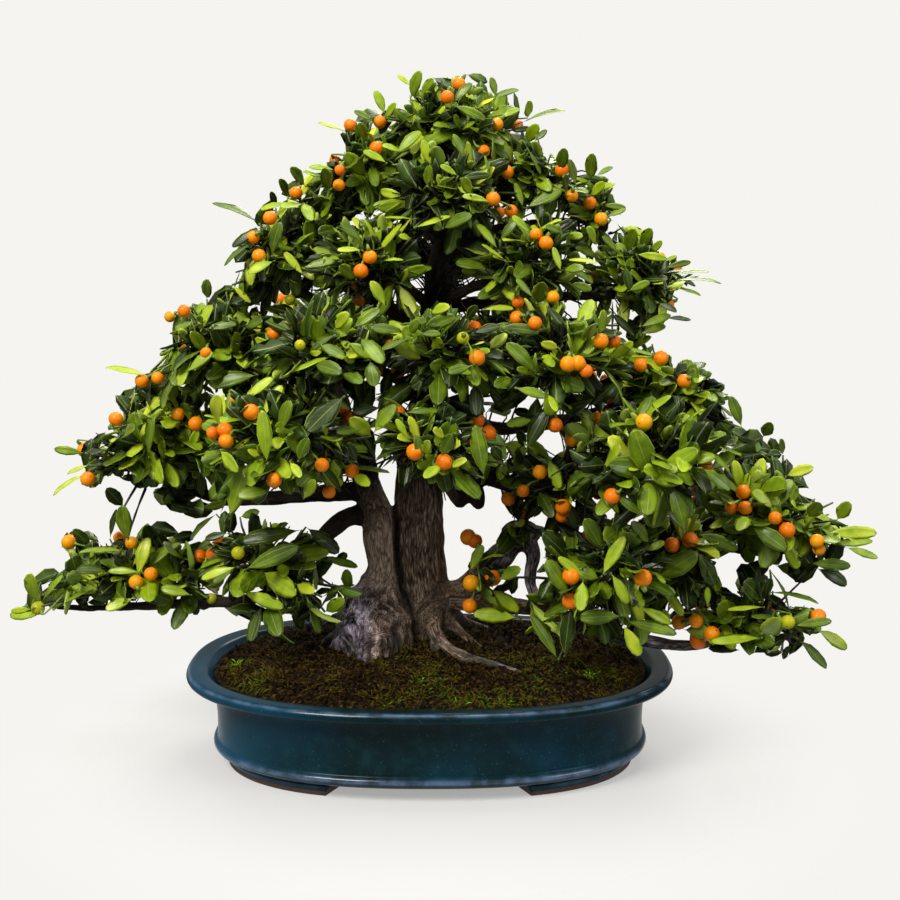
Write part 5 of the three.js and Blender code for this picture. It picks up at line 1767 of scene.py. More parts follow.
# Leaves that are seen whole from the front: places across and down of the base and of the tip in the
# camera's frame, width in the same unit, and a number that chooses from TONES.
# Shades of the leaves: number 0 is for those whose wax mirrors the sky, and then they run from dark to lime.
TONES: tuple[float, ...] = (0.34, 0.22, 0.5, 0.76)
FRONT_LEAVES: tuple[tuple[int, ...], ...] = (
    (149, 376, 105, 368, 8, 3), (85, 453, 54, 449, 9, 3), (89, 465, 67, 474, 6, 3),
    (87, 474, 53, 496, 7, 3), (124, 507, 112, 484, 14, 1), (128, 540, 125, 503, 16, 2),
    (110, 539, 117, 509, 9, 0), (149, 457, 154, 413, 13, 0), (267, 464, 262, 410, 16, 3),
    (218, 425, 224, 392, 18, 3), (190, 416, 208, 392, 9, 3), (207, 420, 209, 394, 9, 0),
    (187, 372, 213, 352, 12, 3), (258, 375, 211, 386, 18, 2), (246, 399, 273, 378, 12, 3),
    (280, 378, 328, 358, 8, 3), (220, 450, 242, 468, 15, 3), (229, 519, 247, 465, 22, 2),
    (271, 491, 238, 495, 14, 3), (298, 461, 310, 436, 13, 2), (290, 462, 303, 475, 10, 3),
    (304, 499, 316, 477, 12, 3), (240, 517, 261, 510, 10, 2), (228, 533, 205, 539, 9, 1),
    (216, 514, 190, 540, 9, 0), (40, 604, 39, 567, 18, 3), (42, 602, 63, 575, 8, 3),
    (32, 609, 11, 611, 7, 3), (92, 546, 76, 527, 11, 1), (155, 545, 151, 520, 16, 0),
    (125, 551, 78, 553, 7, 3), (108, 572, 76, 570, 13, 0), (140, 572, 108, 571, 8, 3),
    (134, 598, 108, 607, 12, 3), (192, 595, 160, 588, 11, 3), (190, 596, 179, 623, 16, 2),
    (237, 567, 201, 579, 11, 3), (244, 570, 299, 546, 18, 2), (302, 530, 241, 542, 18, 0),
    (241, 591, 284, 608, 14, 3), (262, 605, 253, 637, 16, 0), (268, 602, 284, 626, 20, 2),
    (296, 584, 317, 586, 14, 3), (308, 598, 320, 634, 13, 0), (306, 527, 339, 553, 17, 1),
    (320, 557, 358, 567, 9, 2), (348, 590, 349, 565, 13, 2), (325, 612, 346, 594, 14, 3),
    (322, 597, 355, 585, 4, 2), (470, 571, 483, 545, 12, 3), (499, 579, 520, 564, 14, 2),
    (490, 588, 519, 612, 15, 3), (519, 618, 473, 614, 16, 3), (558, 660, 530, 615, 14, 2),
    (564, 657, 570, 610, 16, 1), (569, 596, 546, 560, 18, 2), (585, 578, 558, 557, 10, 3),
    (583, 580, 578, 605, 15, 3), (602, 576, 625, 536, 14, 3), (611, 573, 628, 604, 13, 3),
    (622, 616, 579, 618, 16, 2), (623, 621, 677, 634, 14, 2), (623, 624, 640, 656, 14, 3),
    (639, 607, 671, 624, 11, 3), (662, 586, 683, 616, 11, 3), (656, 578, 694, 548, 22, 2),
    (650, 545, 630, 520, 14, 2), (645, 551, 664, 541, 9, 3), (645, 517, 619, 498, 13, 2),
    (603, 551, 583, 516, 18, 2), (569, 560, 540, 527, 22, 1), (685, 532, 673, 490, 18, 2),
    (684, 530, 665, 507, 9, 2), (742, 428, 730, 396, 12, 2), (763, 437, 765, 419, 13, 2),
    (783, 455, 776, 437, 10, 2), (786, 476, 810, 465, 12, 3), (808, 517, 812, 497, 15, 2),
    (837, 520, 842, 497, 14, 3), (824, 534, 877, 533, 14, 3), (830, 545, 873, 541, 10, 3),
    (845, 547, 878, 558, 9, 3), (809, 563, 851, 566, 12, 2), (816, 568, 847, 585, 14, 1),
    (783, 540, 798, 569, 13, 3), (750, 525, 782, 546, 18, 2), (696, 533, 738, 550, 14, 2),
    (748, 516, 731, 525, 15, 3), (741, 493, 734, 460, 12, 3), (702, 468, 730, 490, 15, 2),
    (697, 551, 715, 585, 16, 1), (762, 602, 737, 574, 20, 1), (763, 600, 762, 572, 16, 1),
    (770, 592, 819, 604, 4, 2), (770, 570, 789, 609, 4, 2), (764, 607, 727, 610, 5, 3),
    (762, 634, 770, 607, 20, 3), (762, 638, 710, 642, 11, 3), (770, 652, 769, 638, 13, 3),
    (794, 626, 832, 621, 10, 2), (816, 629, 847, 649, 13, 3), (798, 639, 824, 666, 16, 0),
    (708, 606, 707, 587, 7, 3), (360, 338, 384, 362, 19, 2), (348, 342, 372, 357, 12, 3),
    (339, 338, 352, 318, 10, 3), (335, 335, 312, 350, 9, 0), (318, 343, 346, 358, 14, 2),
    (314, 364, 344, 371, 16, 2), (342, 373, 364, 381, 14, 2), (370, 360, 376, 384, 16, 2),
    (360, 328, 402, 332, 12, 2), (411, 338, 381, 350, 9, 2), (409, 333, 420, 320, 12, 2),
    (420, 334, 441, 334, 8, 2), (423, 327, 452, 318, 13, 2), (325, 390, 350, 411, 8, 0),
    (345, 396, 310, 428, 24, 1), (372, 436, 352, 414, 18, 3), (373, 434, 396, 404, 16, 3),
    (408, 438, 396, 419, 8, 3), (405, 413, 438, 411, 8, 2), (380, 407, 352, 413, 12, 1),
    (359, 430, 338, 430, 12, 0), (445, 437, 433, 427, 13, 3), (426, 455, 430, 437, 13, 3),
    (441, 457, 452, 432, 14, 2), (422, 460, 416, 435, 10, 2), (443, 464, 424, 475, 12, 3),
    (450, 468, 467, 458, 9, 3), (484, 478, 475, 425, 18, 2), (506, 464, 497, 434, 10, 2),
    (502, 462, 491, 444, 12, 1), (505, 462, 499, 476, 12, 3), (497, 480, 520, 483, 14, 0),
    (533, 420, 506, 424, 12, 2), (526, 451, 547, 411, 18, 1), (525, 448, 516, 428, 12, 1),
    (548, 394, 555, 410, 10, 3), (515, 388, 546, 397, 11, 2), (538, 374, 506, 343, 16, 2),
    (513, 378, 493, 384, 14, 2), (512, 375, 490, 362, 5, 3), (468, 342, 474, 366, 4, 3),
    (472, 366, 448, 372, 11, 2), (474, 382, 476, 414, 16, 1), (559, 348, 540, 342, 10, 3),
    (485, 331, 520, 331, 12, 2), (548, 458, 559, 487, 14, 3), (354, 475, 371, 482, 13, 3),
    (357, 462, 350, 442, 10, 1), (340, 468, 390, 473, 6, 2), (411, 86, 397, 75, 6, 3),
    (411, 99, 421, 73, 13, 2), (421, 95, 434, 81, 10, 3), (385, 115, 375, 90, 10, 3),
    (372, 121, 354, 111, 8, 2), (386, 118, 397, 105, 9, 3), (347, 132, 318, 123, 6, 3),
    (366, 142, 360, 125, 12, 2), (396, 154, 421, 131, 13, 3), (431, 166, 423, 140, 11, 3),
    (402, 152, 382, 146, 9, 3), (469, 164, 453, 134, 9, 2), (427, 186, 430, 166, 10, 3),
    (458, 176, 440, 165, 7, 3), (471, 195, 462, 179, 12, 3), (387, 163, 363, 151, 9, 3),
    (335, 170, 309, 167, 7, 3), (330, 190, 325, 171, 15, 0), (305, 186, 293, 170, 14, 2),
    (320, 177, 304, 173, 8, 3), (288, 196, 281, 180, 10, 0), (276, 208, 272, 192, 8, 1),
    (290, 204, 260, 210, 7, 3), (303, 204, 284, 208, 13, 3), (304, 203, 314, 222, 14, 3),
    (259, 223, 212, 203, 10, 2), (260, 228, 232, 247, 10, 1), (252, 243, 224, 266, 8, 2),
    (274, 261, 251, 274, 13, 3), (272, 256, 282, 222, 15, 2), (304, 276, 284, 252, 9, 3),
    (302, 268, 338, 260, 10, 2), (340, 231, 321, 234, 15, 1), (362, 242, 341, 223, 12, 2),
    (362, 250, 337, 250, 7, 3), (356, 279, 341, 266, 14, 2), (386, 307, 371, 281, 13, 3),
    (381, 261, 404, 260, 5, 3), (413, 219, 384, 218, 5, 3), (414, 228, 451, 216, 9, 3),
    (443, 229, 472, 216, 15, 2), (411, 238, 400, 237, 8, 3), (335, 329, 351, 312, 14, 3),
    (353, 328, 380, 309, 13, 2), (403, 325, 381, 322, 15, 3), (431, 313, 450, 306, 12, 3),
    (427, 328, 456, 316, 14, 2), (445, 303, 467, 309, 18, 0), (409, 327, 427, 320, 13, 2),
    (432, 303, 407, 296, 9, 2), (207, 299, 213, 279, 13, 2), (232, 285, 251, 303, 7, 3),
    (206, 329, 237, 324, 10, 2), (245, 328, 266, 320, 13, 2), (453, 104, 472, 83, 10, 2),
    (496, 98, 491, 77, 8, 2), (489, 99, 519, 90, 9, 2), (453, 105, 486, 120, 10, 2),
    (500, 118, 520, 109, 8, 3), (528, 118, 526, 104, 12, 3), (523, 122, 566, 111, 7, 2),
    (534, 128, 513, 131, 7, 1), (525, 143, 537, 127, 13, 3), (534, 142, 547, 130, 7, 2),
    (527, 148, 541, 175, 6, 2), (560, 171, 563, 150, 13, 2), (576, 186, 569, 159, 9, 2),
    (567, 192, 562, 177, 12, 0), (590, 181, 591, 155, 14, 2), (596, 176, 613, 167, 7, 2),
    (599, 188, 613, 186, 9, 3), (590, 196, 603, 184, 11, 3), (602, 205, 626, 208, 7, 2),
    (606, 217, 626, 209, 7, 2), (526, 208, 562, 190, 16, 2), (523, 208, 515, 183, 8, 3),
    (490, 202, 462, 196, 8, 3), (461, 178, 490, 175, 9, 1), (498, 250, 477, 224, 9, 3),
    (500, 240, 516, 222, 10, 2), (505, 260, 481, 244, 5, 3), (530, 233, 512, 216, 9, 3),
    (562, 233, 544, 227, 10, 2), (564, 237, 582, 236, 9, 3), (596, 244, 584, 228, 13, 3),
    (562, 260, 597, 263, 6, 3), (600, 259, 575, 247, 10, 2), (617, 252, 602, 236, 9, 2),
    (627, 252, 631, 230, 17, 2), (640, 250, 648, 229, 14, 2), (636, 254, 667, 259, 9, 3),
    (652, 252, 660, 241, 8, 3), (664, 261, 677, 256, 5, 3), (665, 268, 691, 262, 7, 2),
    (673, 274, 709, 272, 6, 2), (673, 281, 722, 284, 7, 2), (671, 287, 701, 296, 6, 2),
    (658, 303, 675, 312, 9, 1), (640, 327, 671, 315, 10, 2), (665, 318, 691, 320, 6, 1),
    (640, 334, 666, 326, 9, 2), (625, 352, 650, 336, 13, 0), (636, 338, 614, 315, 9, 1),
    (563, 270, 583, 268, 10, 2), (570, 283, 592, 290, 9, 2), (625, 265, 630, 290, 9, 1),
    (628, 291, 650, 282, 9, 2), (537, 304, 541, 281, 17, 2), (533, 298, 516, 279, 8, 2),
    (482, 310, 514, 309, 8, 3), (547, 306, 562, 325, 9, 1), (473, 333, 500, 326, 11, 1),
    (498, 327, 540, 332, 13, 1), (466, 319, 477, 305, 10, 1), (561, 272, 553, 247, 8, 3),
)

# See-through gaps between the limbs, as outlines in the camera's frame, which leaves placed by rule avoid.
GAPS: tuple[tuple[tuple[float, float], ...], ...] = (
    ((379, 462), (395, 463), (397, 500), (395, 509), (391, 511), (386, 508), (384, 495), (379, 488)),
    ((366, 385), (384, 384), (381, 399), (372, 391)),
    ((324, 396), (344, 389), (369, 400), (350, 411)),
    ((449, 431), (462, 421), (474, 419), (492, 428), (515, 434), (516, 450), (508, 440), (488, 432),
     (470, 424), (458, 436)),
    ((500, 417), (517, 400), (521, 394), (540, 395), (548, 402), (538, 408), (516, 407), (507, 421)),
    ((534, 448), (548, 434), (562, 432), (562, 456), (548, 457)),
    ((400, 287), (414, 283), (431, 285), (430, 295), (402, 297)),
    ((475, 271), (484, 271), (486, 290), (475, 292)),
    ((562, 298), (571, 296), (578, 295), (584, 304), (589, 313), (584, 315), (575, 316), (567, 323),
     (562, 314)),
    ((608, 298), (625, 298), (624, 304), (610, 304)),
    ((625, 312), (640, 311), (639, 321), (630, 320)),
    ((444, 505), (459, 503), (473, 505), (482, 492), (500, 484), (505, 498), (511, 515), (505, 536),
     (482, 559), (459, 580), (444, 571)),
    ((521, 566), (525, 564), (525, 578), (530, 594), (531, 600), (512, 596), (516, 582)),
    ((537, 564), (541, 568), (547, 580), (546, 592), (541, 588), (537, 578)),
    ((531, 515), (556, 514), (555, 526), (540, 526)),
    ((335, 538), (345, 528), (352, 527), (362, 534), (369, 548), (372, 560), (370, 570), (362, 582),
     (352, 592), (349, 590), (355, 570), (359, 566), (350, 552), (340, 550)),
    ((326, 565), (342, 566), (342, 576), (346, 585), (330, 583), (318, 592), (317, 580)),
    ((100, 481), (109, 476), (120, 480), (136, 485), (150, 494), (160, 499), (162, 509), (182, 512),
     (196, 516), (206, 514), (190, 536), (176, 527), (160, 520), (148, 520), (142, 530), (134, 532),
     (128, 536), (120, 545), (106, 545), (104, 520), (112, 505), (106, 490)),
    ((212, 514), (219, 513), (222, 526), (222, 531), (208, 531), (203, 540), (198, 540), (200, 530)),
    ((262, 505), (274, 503), (279, 509), (290, 510), (298, 505), (306, 505), (318, 496), (328, 494),
     (334, 500), (340, 505), (330, 520), (320, 527), (306, 526), (298, 529), (286, 520), (268, 520),
     (256, 522), (244, 530), (238, 538), (232, 534), (232, 524), (245, 518), (262, 512)),
    ((244, 542), (262, 538), (284, 532), (298, 530), (299, 538), (292, 541), (276, 541), (258, 548),
     (248, 548)),
    ((710, 550), (720, 552), (738, 562), (744, 568), (743, 575), (735, 573), (735, 580), (738, 593),
     (725, 595), (722, 592), (715, 587), (717, 580), (713, 563)),
    ((764, 570), (773, 570), (780, 580), (785, 590), (773, 592), (770, 595), (765, 590)),
)


@dataclass
class Foliage:
    """Leaves, twigs and fruits of every spray."""

    skeleton: Skeleton
    viewpoint: Viewpoint
    leaf_length: float = 49.0
    slimness: float = 0.45  # a leaf's width over its length, low on the tree
    leaves_on_shoot: int = 5
    shoot_area: float = 1330.0  # square mm of a spray's surface for each shoot
    rosette_depth: float = 31.0
    fruit_radius: float = 7.5
    front_depth: float = 40.0  # fruits nearer than this stay in view
    grids: tuple[tuple[tuple[float, ...], tuple[float, ...]], ...] = (
        ((0.1, 0.32, 0.56, 0.8, 0.94), (-1.0, -0.5, 0.0, 0.5, 1.0)),
        ((0.15, 0.5, 0.85), (-1, 0, 1)), ((0.08, 0.3, 0.6, 0.86), (-1, 0, 1)),
    )  # places along and across outer, inner and patch leaves
    fruits: dict[str, list[tuple[np.ndarray, float]]] = field(default_factory=dict)
    marked: dict[str, list[tuple[np.ndarray, np.ndarray, int]]] = field(default_factory=dict)
    whole: dict[str, Leaves] = field(default_factory=dict)
    spurs: int = 1100
    spur_lines: dict[str, np.ndarray] = field(default_factory=dict)
    cell: float = 4.0  # side of the cells of the frame on which holes are looked for
    cells_across: int = 225
    bare_radius: float = 9.0  # of limbs that no patch leaf may hide, up to a height of
    bare_height: float = 250.0
    fruit_area: float = 2400.0  # of a spray's surface for each fruit at the back
    edge_on: float = 0.35  # least cosine from a leaf's normal to the line of sight at which it hides the sky
    patch_passes: tuple[tuple[float, float], ...] = (
        (0.85, 0.2), (0.75, 0.25), (0.65, 0.35), (0.52, 0.5), (0.42, 0.8),
    )  # size of the leaves in each pass, and share of the open cells that get one

    def scale_at(self, height: np.ndarray) -> np.ndarray:
        """Leaves are full size low on the tree and a sixth shorter in its crown."""
        return 1.0 - 0.17 * smooth_step(180, 640, height)

    def width_at(self, height: np.ndarray) -> np.ndarray:
        """Width of a leaf over its length, which is less in the crown."""
        return self.slimness * (1.0 - 0.2 * smooth_step(180, 640, height))

    def inside_others(self, points: np.ndarray, own: Spray, depth: float) -> np.ndarray:
        """Whether each place lies deeper than a depth inside another spray's reach."""
        found = np.zeros(len(points), bool)
        for other in SPRAYS:
            if other is not own:
                reach = np.maximum(other.half - depth, 4)
                found |= (((points - other.middle) / reach) ** 2).sum(1) < 1
        return found

    def shoots(self, spray: Spray, rng: np.random.Generator) -> tuple[np.ndarray, np.ndarray]:
        """Places and directions of a spray's outer shoots, evenly spread over it by the golden angle.

        Args:
            spray: the spray.
            rng: source of random numbers.

        Returns:
            Tops of the shoots and unit directions in which they grow.
        """
        reach = spray.half
        scale = float(self.scale_at(np.array(spray.middle[2])))
        area = 4 * np.pi * spray.area / 3
        behind = 0.8 if spray.middle[1] > 60 else 1.0
        count = round(area * 0.72 / (self.shoot_area * scale ** 2) * spray.fill * behind)
        z = 1 - (np.arange(count) + 0.5) / count * 1.44
        level = np.sqrt(1 - z * z)
        angle = np.arange(count) * GOLDEN_ANGLE + rng.uniform(0, 2 * np.pi)
        direction = unit(np.stack([np.cos(angle) * level, np.sin(angle) * level, z], axis=-1)
                         + rng.normal(0, 0.10, (count, 3)))
        depth = np.minimum(self.rosette_depth * scale * rng.uniform(0.8, 1.3, count), reach.min() * 0.75)
        top = spray.centre + direction * (reach - depth[:, None])
        outwards = unit(top * [1, 1, 0])
        way = unit(direction / reach)
        grow = unit(way + UP * (0.42 * np.maximum(way[:, 2:], -0.2) + 0.30) + outwards * 0.25
                    + rng.normal(0, 0.16, (count, 3)))
        kept = ~self.inside_others(top, spray, 40 * scale)
        return top[kept], grow[kept]

    def rosettes(self, top: np.ndarray, grow: np.ndarray, number: np.ndarray,
                 rng: np.random.Generator) -> tuple[Leaves, np.ndarray]:
        """Leaves round the end of each shoot, at golden angles, the youngest steep, the oldest spread wide.

        A leaf's direction is grow . cos(a) + radial . sin(a), where a runs from 28 to 84 degrees, and its
        upper side faces the shoot.

        Args:
            top: tops of the shoots.
            grow: their directions.
            number: how many leaves each shoot has.
            rng: source of random numbers.

        Returns:
            The leaves, and the number of each leaf's shoot.
        """
        shoots, each = len(top), self.leaves_on_shoot
        shape = (shoots, each)
        age = np.broadcast_to(np.linspace(0, 1, each), shape) + rng.normal(0, 0.08, shape)
        tilt = np.radians(28 + 56 * age + rng.normal(0, 11, shape))
        azimuth = (rng.uniform(0, 2 * np.pi, (shoots, 1)) + np.arange(each) * GOLDEN_ANGLE
                   + rng.normal(0, 0.35, shape))
        helper = np.where(np.abs(grow[:, 2:]) < 0.8, UP, np.array([1.0, 0, 0]))
        side, other = across_of(grow, helper)
        radial = np.cos(azimuth)[..., None] * side[:, None] + np.sin(azimuth)[..., None] * other[:, None]
        cosine, sine = np.cos(tilt)[..., None], np.sin(tilt)[..., None]
        droop = np.clip(age, 0, 1) * rng.normal(0.14, 0.16, shape)
        forward = unit(grow[:, None] * cosine + radial * sine - UP * droop[..., None])
        normal = unit(grow[:, None] * sine - radial * cosine + UP * 0.55)
        scale = self.scale_at(top[:, 2])[:, None]
        vigour = rng.uniform(0.84, 1.08, (shoots, 1))
        length = self.leaf_length * scale * vigour * (0.62 + 0.38 * smooth_step(-0.1, 0.5, age))
        length = length * rng.uniform(0.82, 1.08, shape)
        base = top[:, None] - grow[:, None] * (np.clip(age, 0, 1) * 16 * scale)[..., None]
        brightness = 0.76 - 0.36 * age + rng.normal(0, 0.11, shape) + rng.normal(0, 0.10, (shoots, 1))

        def flat(value: np.ndarray) -> np.ndarray:
            """One row for each leaf of all shoots."""
            return value.reshape(-1, *value.shape[2:])

        made = Leaves(flat(base), flat(forward), flat(normal), flat(length),
                      flat(length * self.width_at(top[:, 2])[:, None] * rng.uniform(0.82, 1.15, shape)),
                      flat(rng.uniform(-0.25, 0.8, shape)), flat(np.radians(rng.uniform(1, 15, shape))),
                      flat(rng.normal(0, 0.25, shape)), flat(np.clip(brightness, 0.05, 1)))
        grown = flat(np.arange(each) < number[:, None])
        return made.kept(grown), np.repeat(np.arange(shoots), each)[grown]

    def tip_leaves(self, spray: Spray) -> tuple[np.ndarray, np.ndarray]:
        """Tops and directions of the shoots that stand out of a spray, so that a leaf ends at each tip."""
        tips = np.array(spray.tips, float).reshape(-1, 3)
        grow = unit(tips - spray.centre)
        length = (self.leaf_length * 0.86 * self.scale_at(tips[:, 2]))[:, None]
        return tips - grow * length, grow

    def inner_leaves(self, spray: Spray, rng: np.random.Generator) -> Leaves:
        """Old leaves scattered through the inside of a spray, facing every way, dark partly from their age
        and partly as painted shade.
        """
        reach = spray.half
        count = round(reach.prod() ** (2 / 3) / (66 if spray.middle[2] < 380 else 46))
        direction = unit(rng.normal(0, 1, (count, 3)))
        direction[:, 2] = np.where(direction[:, 2] < -0.5, -direction[:, 2], direction[:, 2])
        share = rng.uniform(0.2, 1.0, (count, 1)) ** 0.6
        base = spray.centre + direction * np.maximum(reach - 30, reach * 0.3) * share
        forward = unit(direction + rng.normal(0, 0.8, (count, 3)))
        normal = unit(UP + rng.normal(0, 0.7, (count, 3)))
        length = self.leaf_length * self.scale_at(base[:, 2]) * rng.uniform(0.6, 0.95, count)
        return Leaves(base, forward, normal, length, length * self.slimness * rng.uniform(0.9, 1.2, count),
                      rng.uniform(0, 0.7, count), np.radians(rng.uniform(4, 20, count)),
                      rng.normal(0, 0.2, count),
                      # Dark tint: old leaves, and painted shade deep in the spray.
                      np.clip(rng.normal(0.12, 0.07, count), 0, 0.4))

    def place_fruits(self) -> None:
        """Hangs the fruits: on the front where a ray meets a spray, and spread over the back."""
        self.fruits = {spray.name: [] for spray in SPRAYS}
        self.marked = {spray.name: [] for spray in SPRAYS}
        eye = self.viewpoint.place()
        rng = np.random.default_rng(Seed.FRUITS)
        views = [(place, 1.0) for place in FRONT_FRUITS] + [(place, 0.16) for place in GREEN_FRUITS]
        for (across, down), ripe in views:
            ray = self.viewpoint.ray(across, down)
            spray, place = self.first_spray(eye, ray)
            ripeness = ripe if ripe < 0.5 else float(np.clip(rng.normal(0.86, 0.14), 0.5, 1))
            self.fruits[spray.name].append((place - ray * 6, ripeness))
            inward = unit(spray.centre - place)
            aside = np.array([rng.normal(0, 0.6), 0, 0.8])
            if spray.fill > 0.5:
                self.marked[spray.name].append((place + inward * 12 + aside * 9, unit(aside - inward * 0.7),
                                                4))
        for spray in SPRAYS:
            reach = spray.half
            wanted = round(spray.area / self.fruit_area)
            for index in range(wanted):
                z = 0.75 - 1.25 * (index + 0.5) / wanted
                angle = rng.uniform(math.radians(20), math.radians(160))
                level = math.sqrt(1 - z * z)
                direction = np.array([math.cos(angle) * level, math.sin(angle) * level, z])
                place = spray.centre + direction * (reach - 11)
                if self.inside_others(place[None], spray, 4)[0] or not self.in_outline(place[None])[0]:
                    continue
                ripeness = float(np.clip(rng.normal(0.84, 0.2), 0.1, 1))
                self.fruits[spray.name].append((place, ripeness))
                if rng.random() < 0.4:
                    aside = unit(np.cross(direction, rng.normal(0, 1, 3))) * self.fruit_radius * 2
                    self.fruits[spray.name].append((place + aside, min(1.0, ripeness + 0.1)))

    def place_shoots(self) -> None:
        """Gives each shoot that is marked in the picture to the spray that it lies deepest in."""
        eye = self.viewpoint.place()
        for across, down, depth, degrees, number in FRONT_SHOOTS:
            ray = self.viewpoint.ray(across, down)
            place = eye + ray * (depth - eye[1]) / ray[1]
            spray = min(SPRAYS, key=lambda one: np.linalg.norm((place - one.centre) / one.half))
            angle = math.radians(degrees)
            grow = unit(np.array([math.cos(angle), -0.25, math.sin(angle)]))
            self.marked[spray.name].append((place, grow, number))

    def place_leaves(self) -> None:
        """Gives each leaf that is seen whole to the spray that it lies on.

        Both ends lie at the depth where the ray through the leaf's middle meets the spray. A leaf that looks
        short for its width points at the camera: its tip is nearer by the root of L squared - l squared. One
        that looks thin is turned edge on, by the angle whose cosine is its width in the picture over its own.
        """
        eye = self.viewpoint.place()
        rng = np.random.default_rng(Seed.WHOLE_LEAVES)
        rows: dict[str, list[tuple[np.ndarray | float, ...]]] = {spray.name: [] for spray in SPRAYS}
        for base_across, base_down, tip_across, tip_down, width, tone in FRONT_LEAVES:
            middle = self.viewpoint.ray((base_across + tip_across) / 2, (base_down + tip_down) / 2)
            spray, place = self.first_spray(eye, middle)
            reach = (place[1] - 9 - eye[1]) / middle[1]
            base, tip = (eye + way * reach * middle[1] / way[1] for way in (
                self.viewpoint.ray(base_across, base_down), self.viewpoint.ray(tip_across, tip_down)))
            seen = float(np.linalg.norm(tip - base))
            wide = width * reach / self.viewpoint.focal_pixels
            length = max(seen, min(wide / 0.42, 50.0))
            ahead = math.sqrt(length ** 2 - seen ** 2)
            full = max(wide, length * 0.27)
            facing = wide / full
            chord = unit(tip - base + np.array([0, -ahead, 0]))
            toward = unit(np.array([0, -1.0, 0.15]) - chord * (chord @ np.array([0, -1.0, 0.15])))
            above = np.cross(chord, toward) * (1 if np.cross(chord, toward)[2] > 0 else -1)
            tilt = (0.75 if tone == 0 else 0.3) + rng.normal(0, 0.16)
            normal = unit(toward * facing + above * (math.sqrt(1 - facing ** 2) + tilt * facing))
            arch = rng.uniform(0.15, 0.6)
            forward = chord * math.cos(arch / 2) + normal * math.sin(arch / 2)
            upper = normal * math.cos(arch / 2) - chord * math.sin(arch / 2)
            while self.skeleton.clearance(np.stack([
                    base + chord * length * share for share in (0.5, 1.0)])).min() < 4:
                base = base - middle * 4
            rows[spray.name].append((
                base, forward, upper, length * (arch / 2) / math.sin(arch / 2), full, arch,
                math.radians(rng.uniform(3, 14)), rng.normal(0, 0.14), TONES[tone] + rng.normal(0, 0.06)))
        self.whole = {name: Leaves(*(np.array(column) for column in zip(*group)))
                      for name, group in rows.items() if group}

    def first_spray(self, eye: np.ndarray, ray: np.ndarray) -> tuple[Spray, np.ndarray]:
        """The spray that a ray meets first, and where."""
        found = [self.on_spray(eye, ray, spray) for spray in SPRAYS]
        near = min(range(len(found)), key=lambda index: found[index][0])
        return SPRAYS[near], found[near][1]

    def on_spray(self, eye: np.ndarray, ray: np.ndarray, spray: Spray) -> tuple[float, np.ndarray]:
        """Where a ray first meets a spray's ellipsoid, drawn in by 9 mm, or comes nearest to it.

        Args:
            eye: start of the ray.
            ray: its direction.
            spray: the spray.

        Returns:
            A cost that is lowest for the nearest hit, and the place.
        """
        reach = spray.half - 9
        start = (eye - spray.centre) / reach
        way = ray / reach
        a, b, c = way @ way, start @ way, start @ start - 1
        root = b * b - a * c
        if root >= 0:
            distance = (-b - math.sqrt(root)) / a
            return distance, eye + ray * distance
        distance = -b / a
        miss = float(np.linalg.norm(start + way * distance))
        return 5000 + distance + 4000 * (miss - 1), eye + ray * distance

    def fruit_shell(self, shell: Shell, spray: Spray) -> None:
        """Adds a spray's fruits, balls flattened by 5 %, with stalks that flare to a green button.

        Args:
            shell: what they are added to.
            spray: the spray.
        """
        rng = np.random.default_rng(Seed.FRUIT_SIZES + len(spray.name))
        rows, columns = 6, 10
        polar = np.linspace(0, np.pi, rows + 2)[1:-1]
        angle = round_angles(columns)
        ball = np.stack([np.sin(polar)[:, None] * np.cos(angle), np.sin(polar)[:, None] * np.sin(angle),
                         np.repeat(-np.cos(polar)[:, None], columns, 1)], axis=-1).reshape(-1, 3)
        ball = np.concatenate([ball, [[0, 0, -1], [0, 0, 1]]])
        faces = outward(ball, capped_faces(rows, columns))
        pole = np.concatenate([np.repeat(polar / np.pi, columns), [0, 1]])
        for place, ripe in self.fruits[spray.name]:
            radius = self.fruit_radius * rng.uniform(0.86, 1.12) * (0.86 if ripe < 0.4 else 1.0)
            radius *= float(1.0 - 0.2 * smooth_step(180, 560, place[2]))
            inward = unit(spray.centre - place + UP * 18)
            axis = unit(-inward * 0.7 + rng.normal(0, 0.6, 3) - UP * 0.3)
            side, other = across_of(axis[None], np.array([[0.3, 0.5, 0.8]]))
            turned = ball * [1, 1, 0.95] @ np.stack([side[0], other[0], axis])
            shell.add(place + turned * radius, outward(turned, faces), 2, ripe=np.full(len(ball), ripe),
                      pole=pole)
            start = place - axis * radius * 0.93
            end = place + inward * (radius + 20)
            line = smooth_run(np.stack([start, start - axis * 5, end]), 5.0)
            width = np.interp(np.linspace(0, 1, len(line)), [0, 0.12, 0.3, 1], [2.3, 1.5, 0.85, 1.2])
            points, sheath = tube(line, width, 5)
            shell.add(points, sheath, 3, woody=np.full(len(points), 0.12))

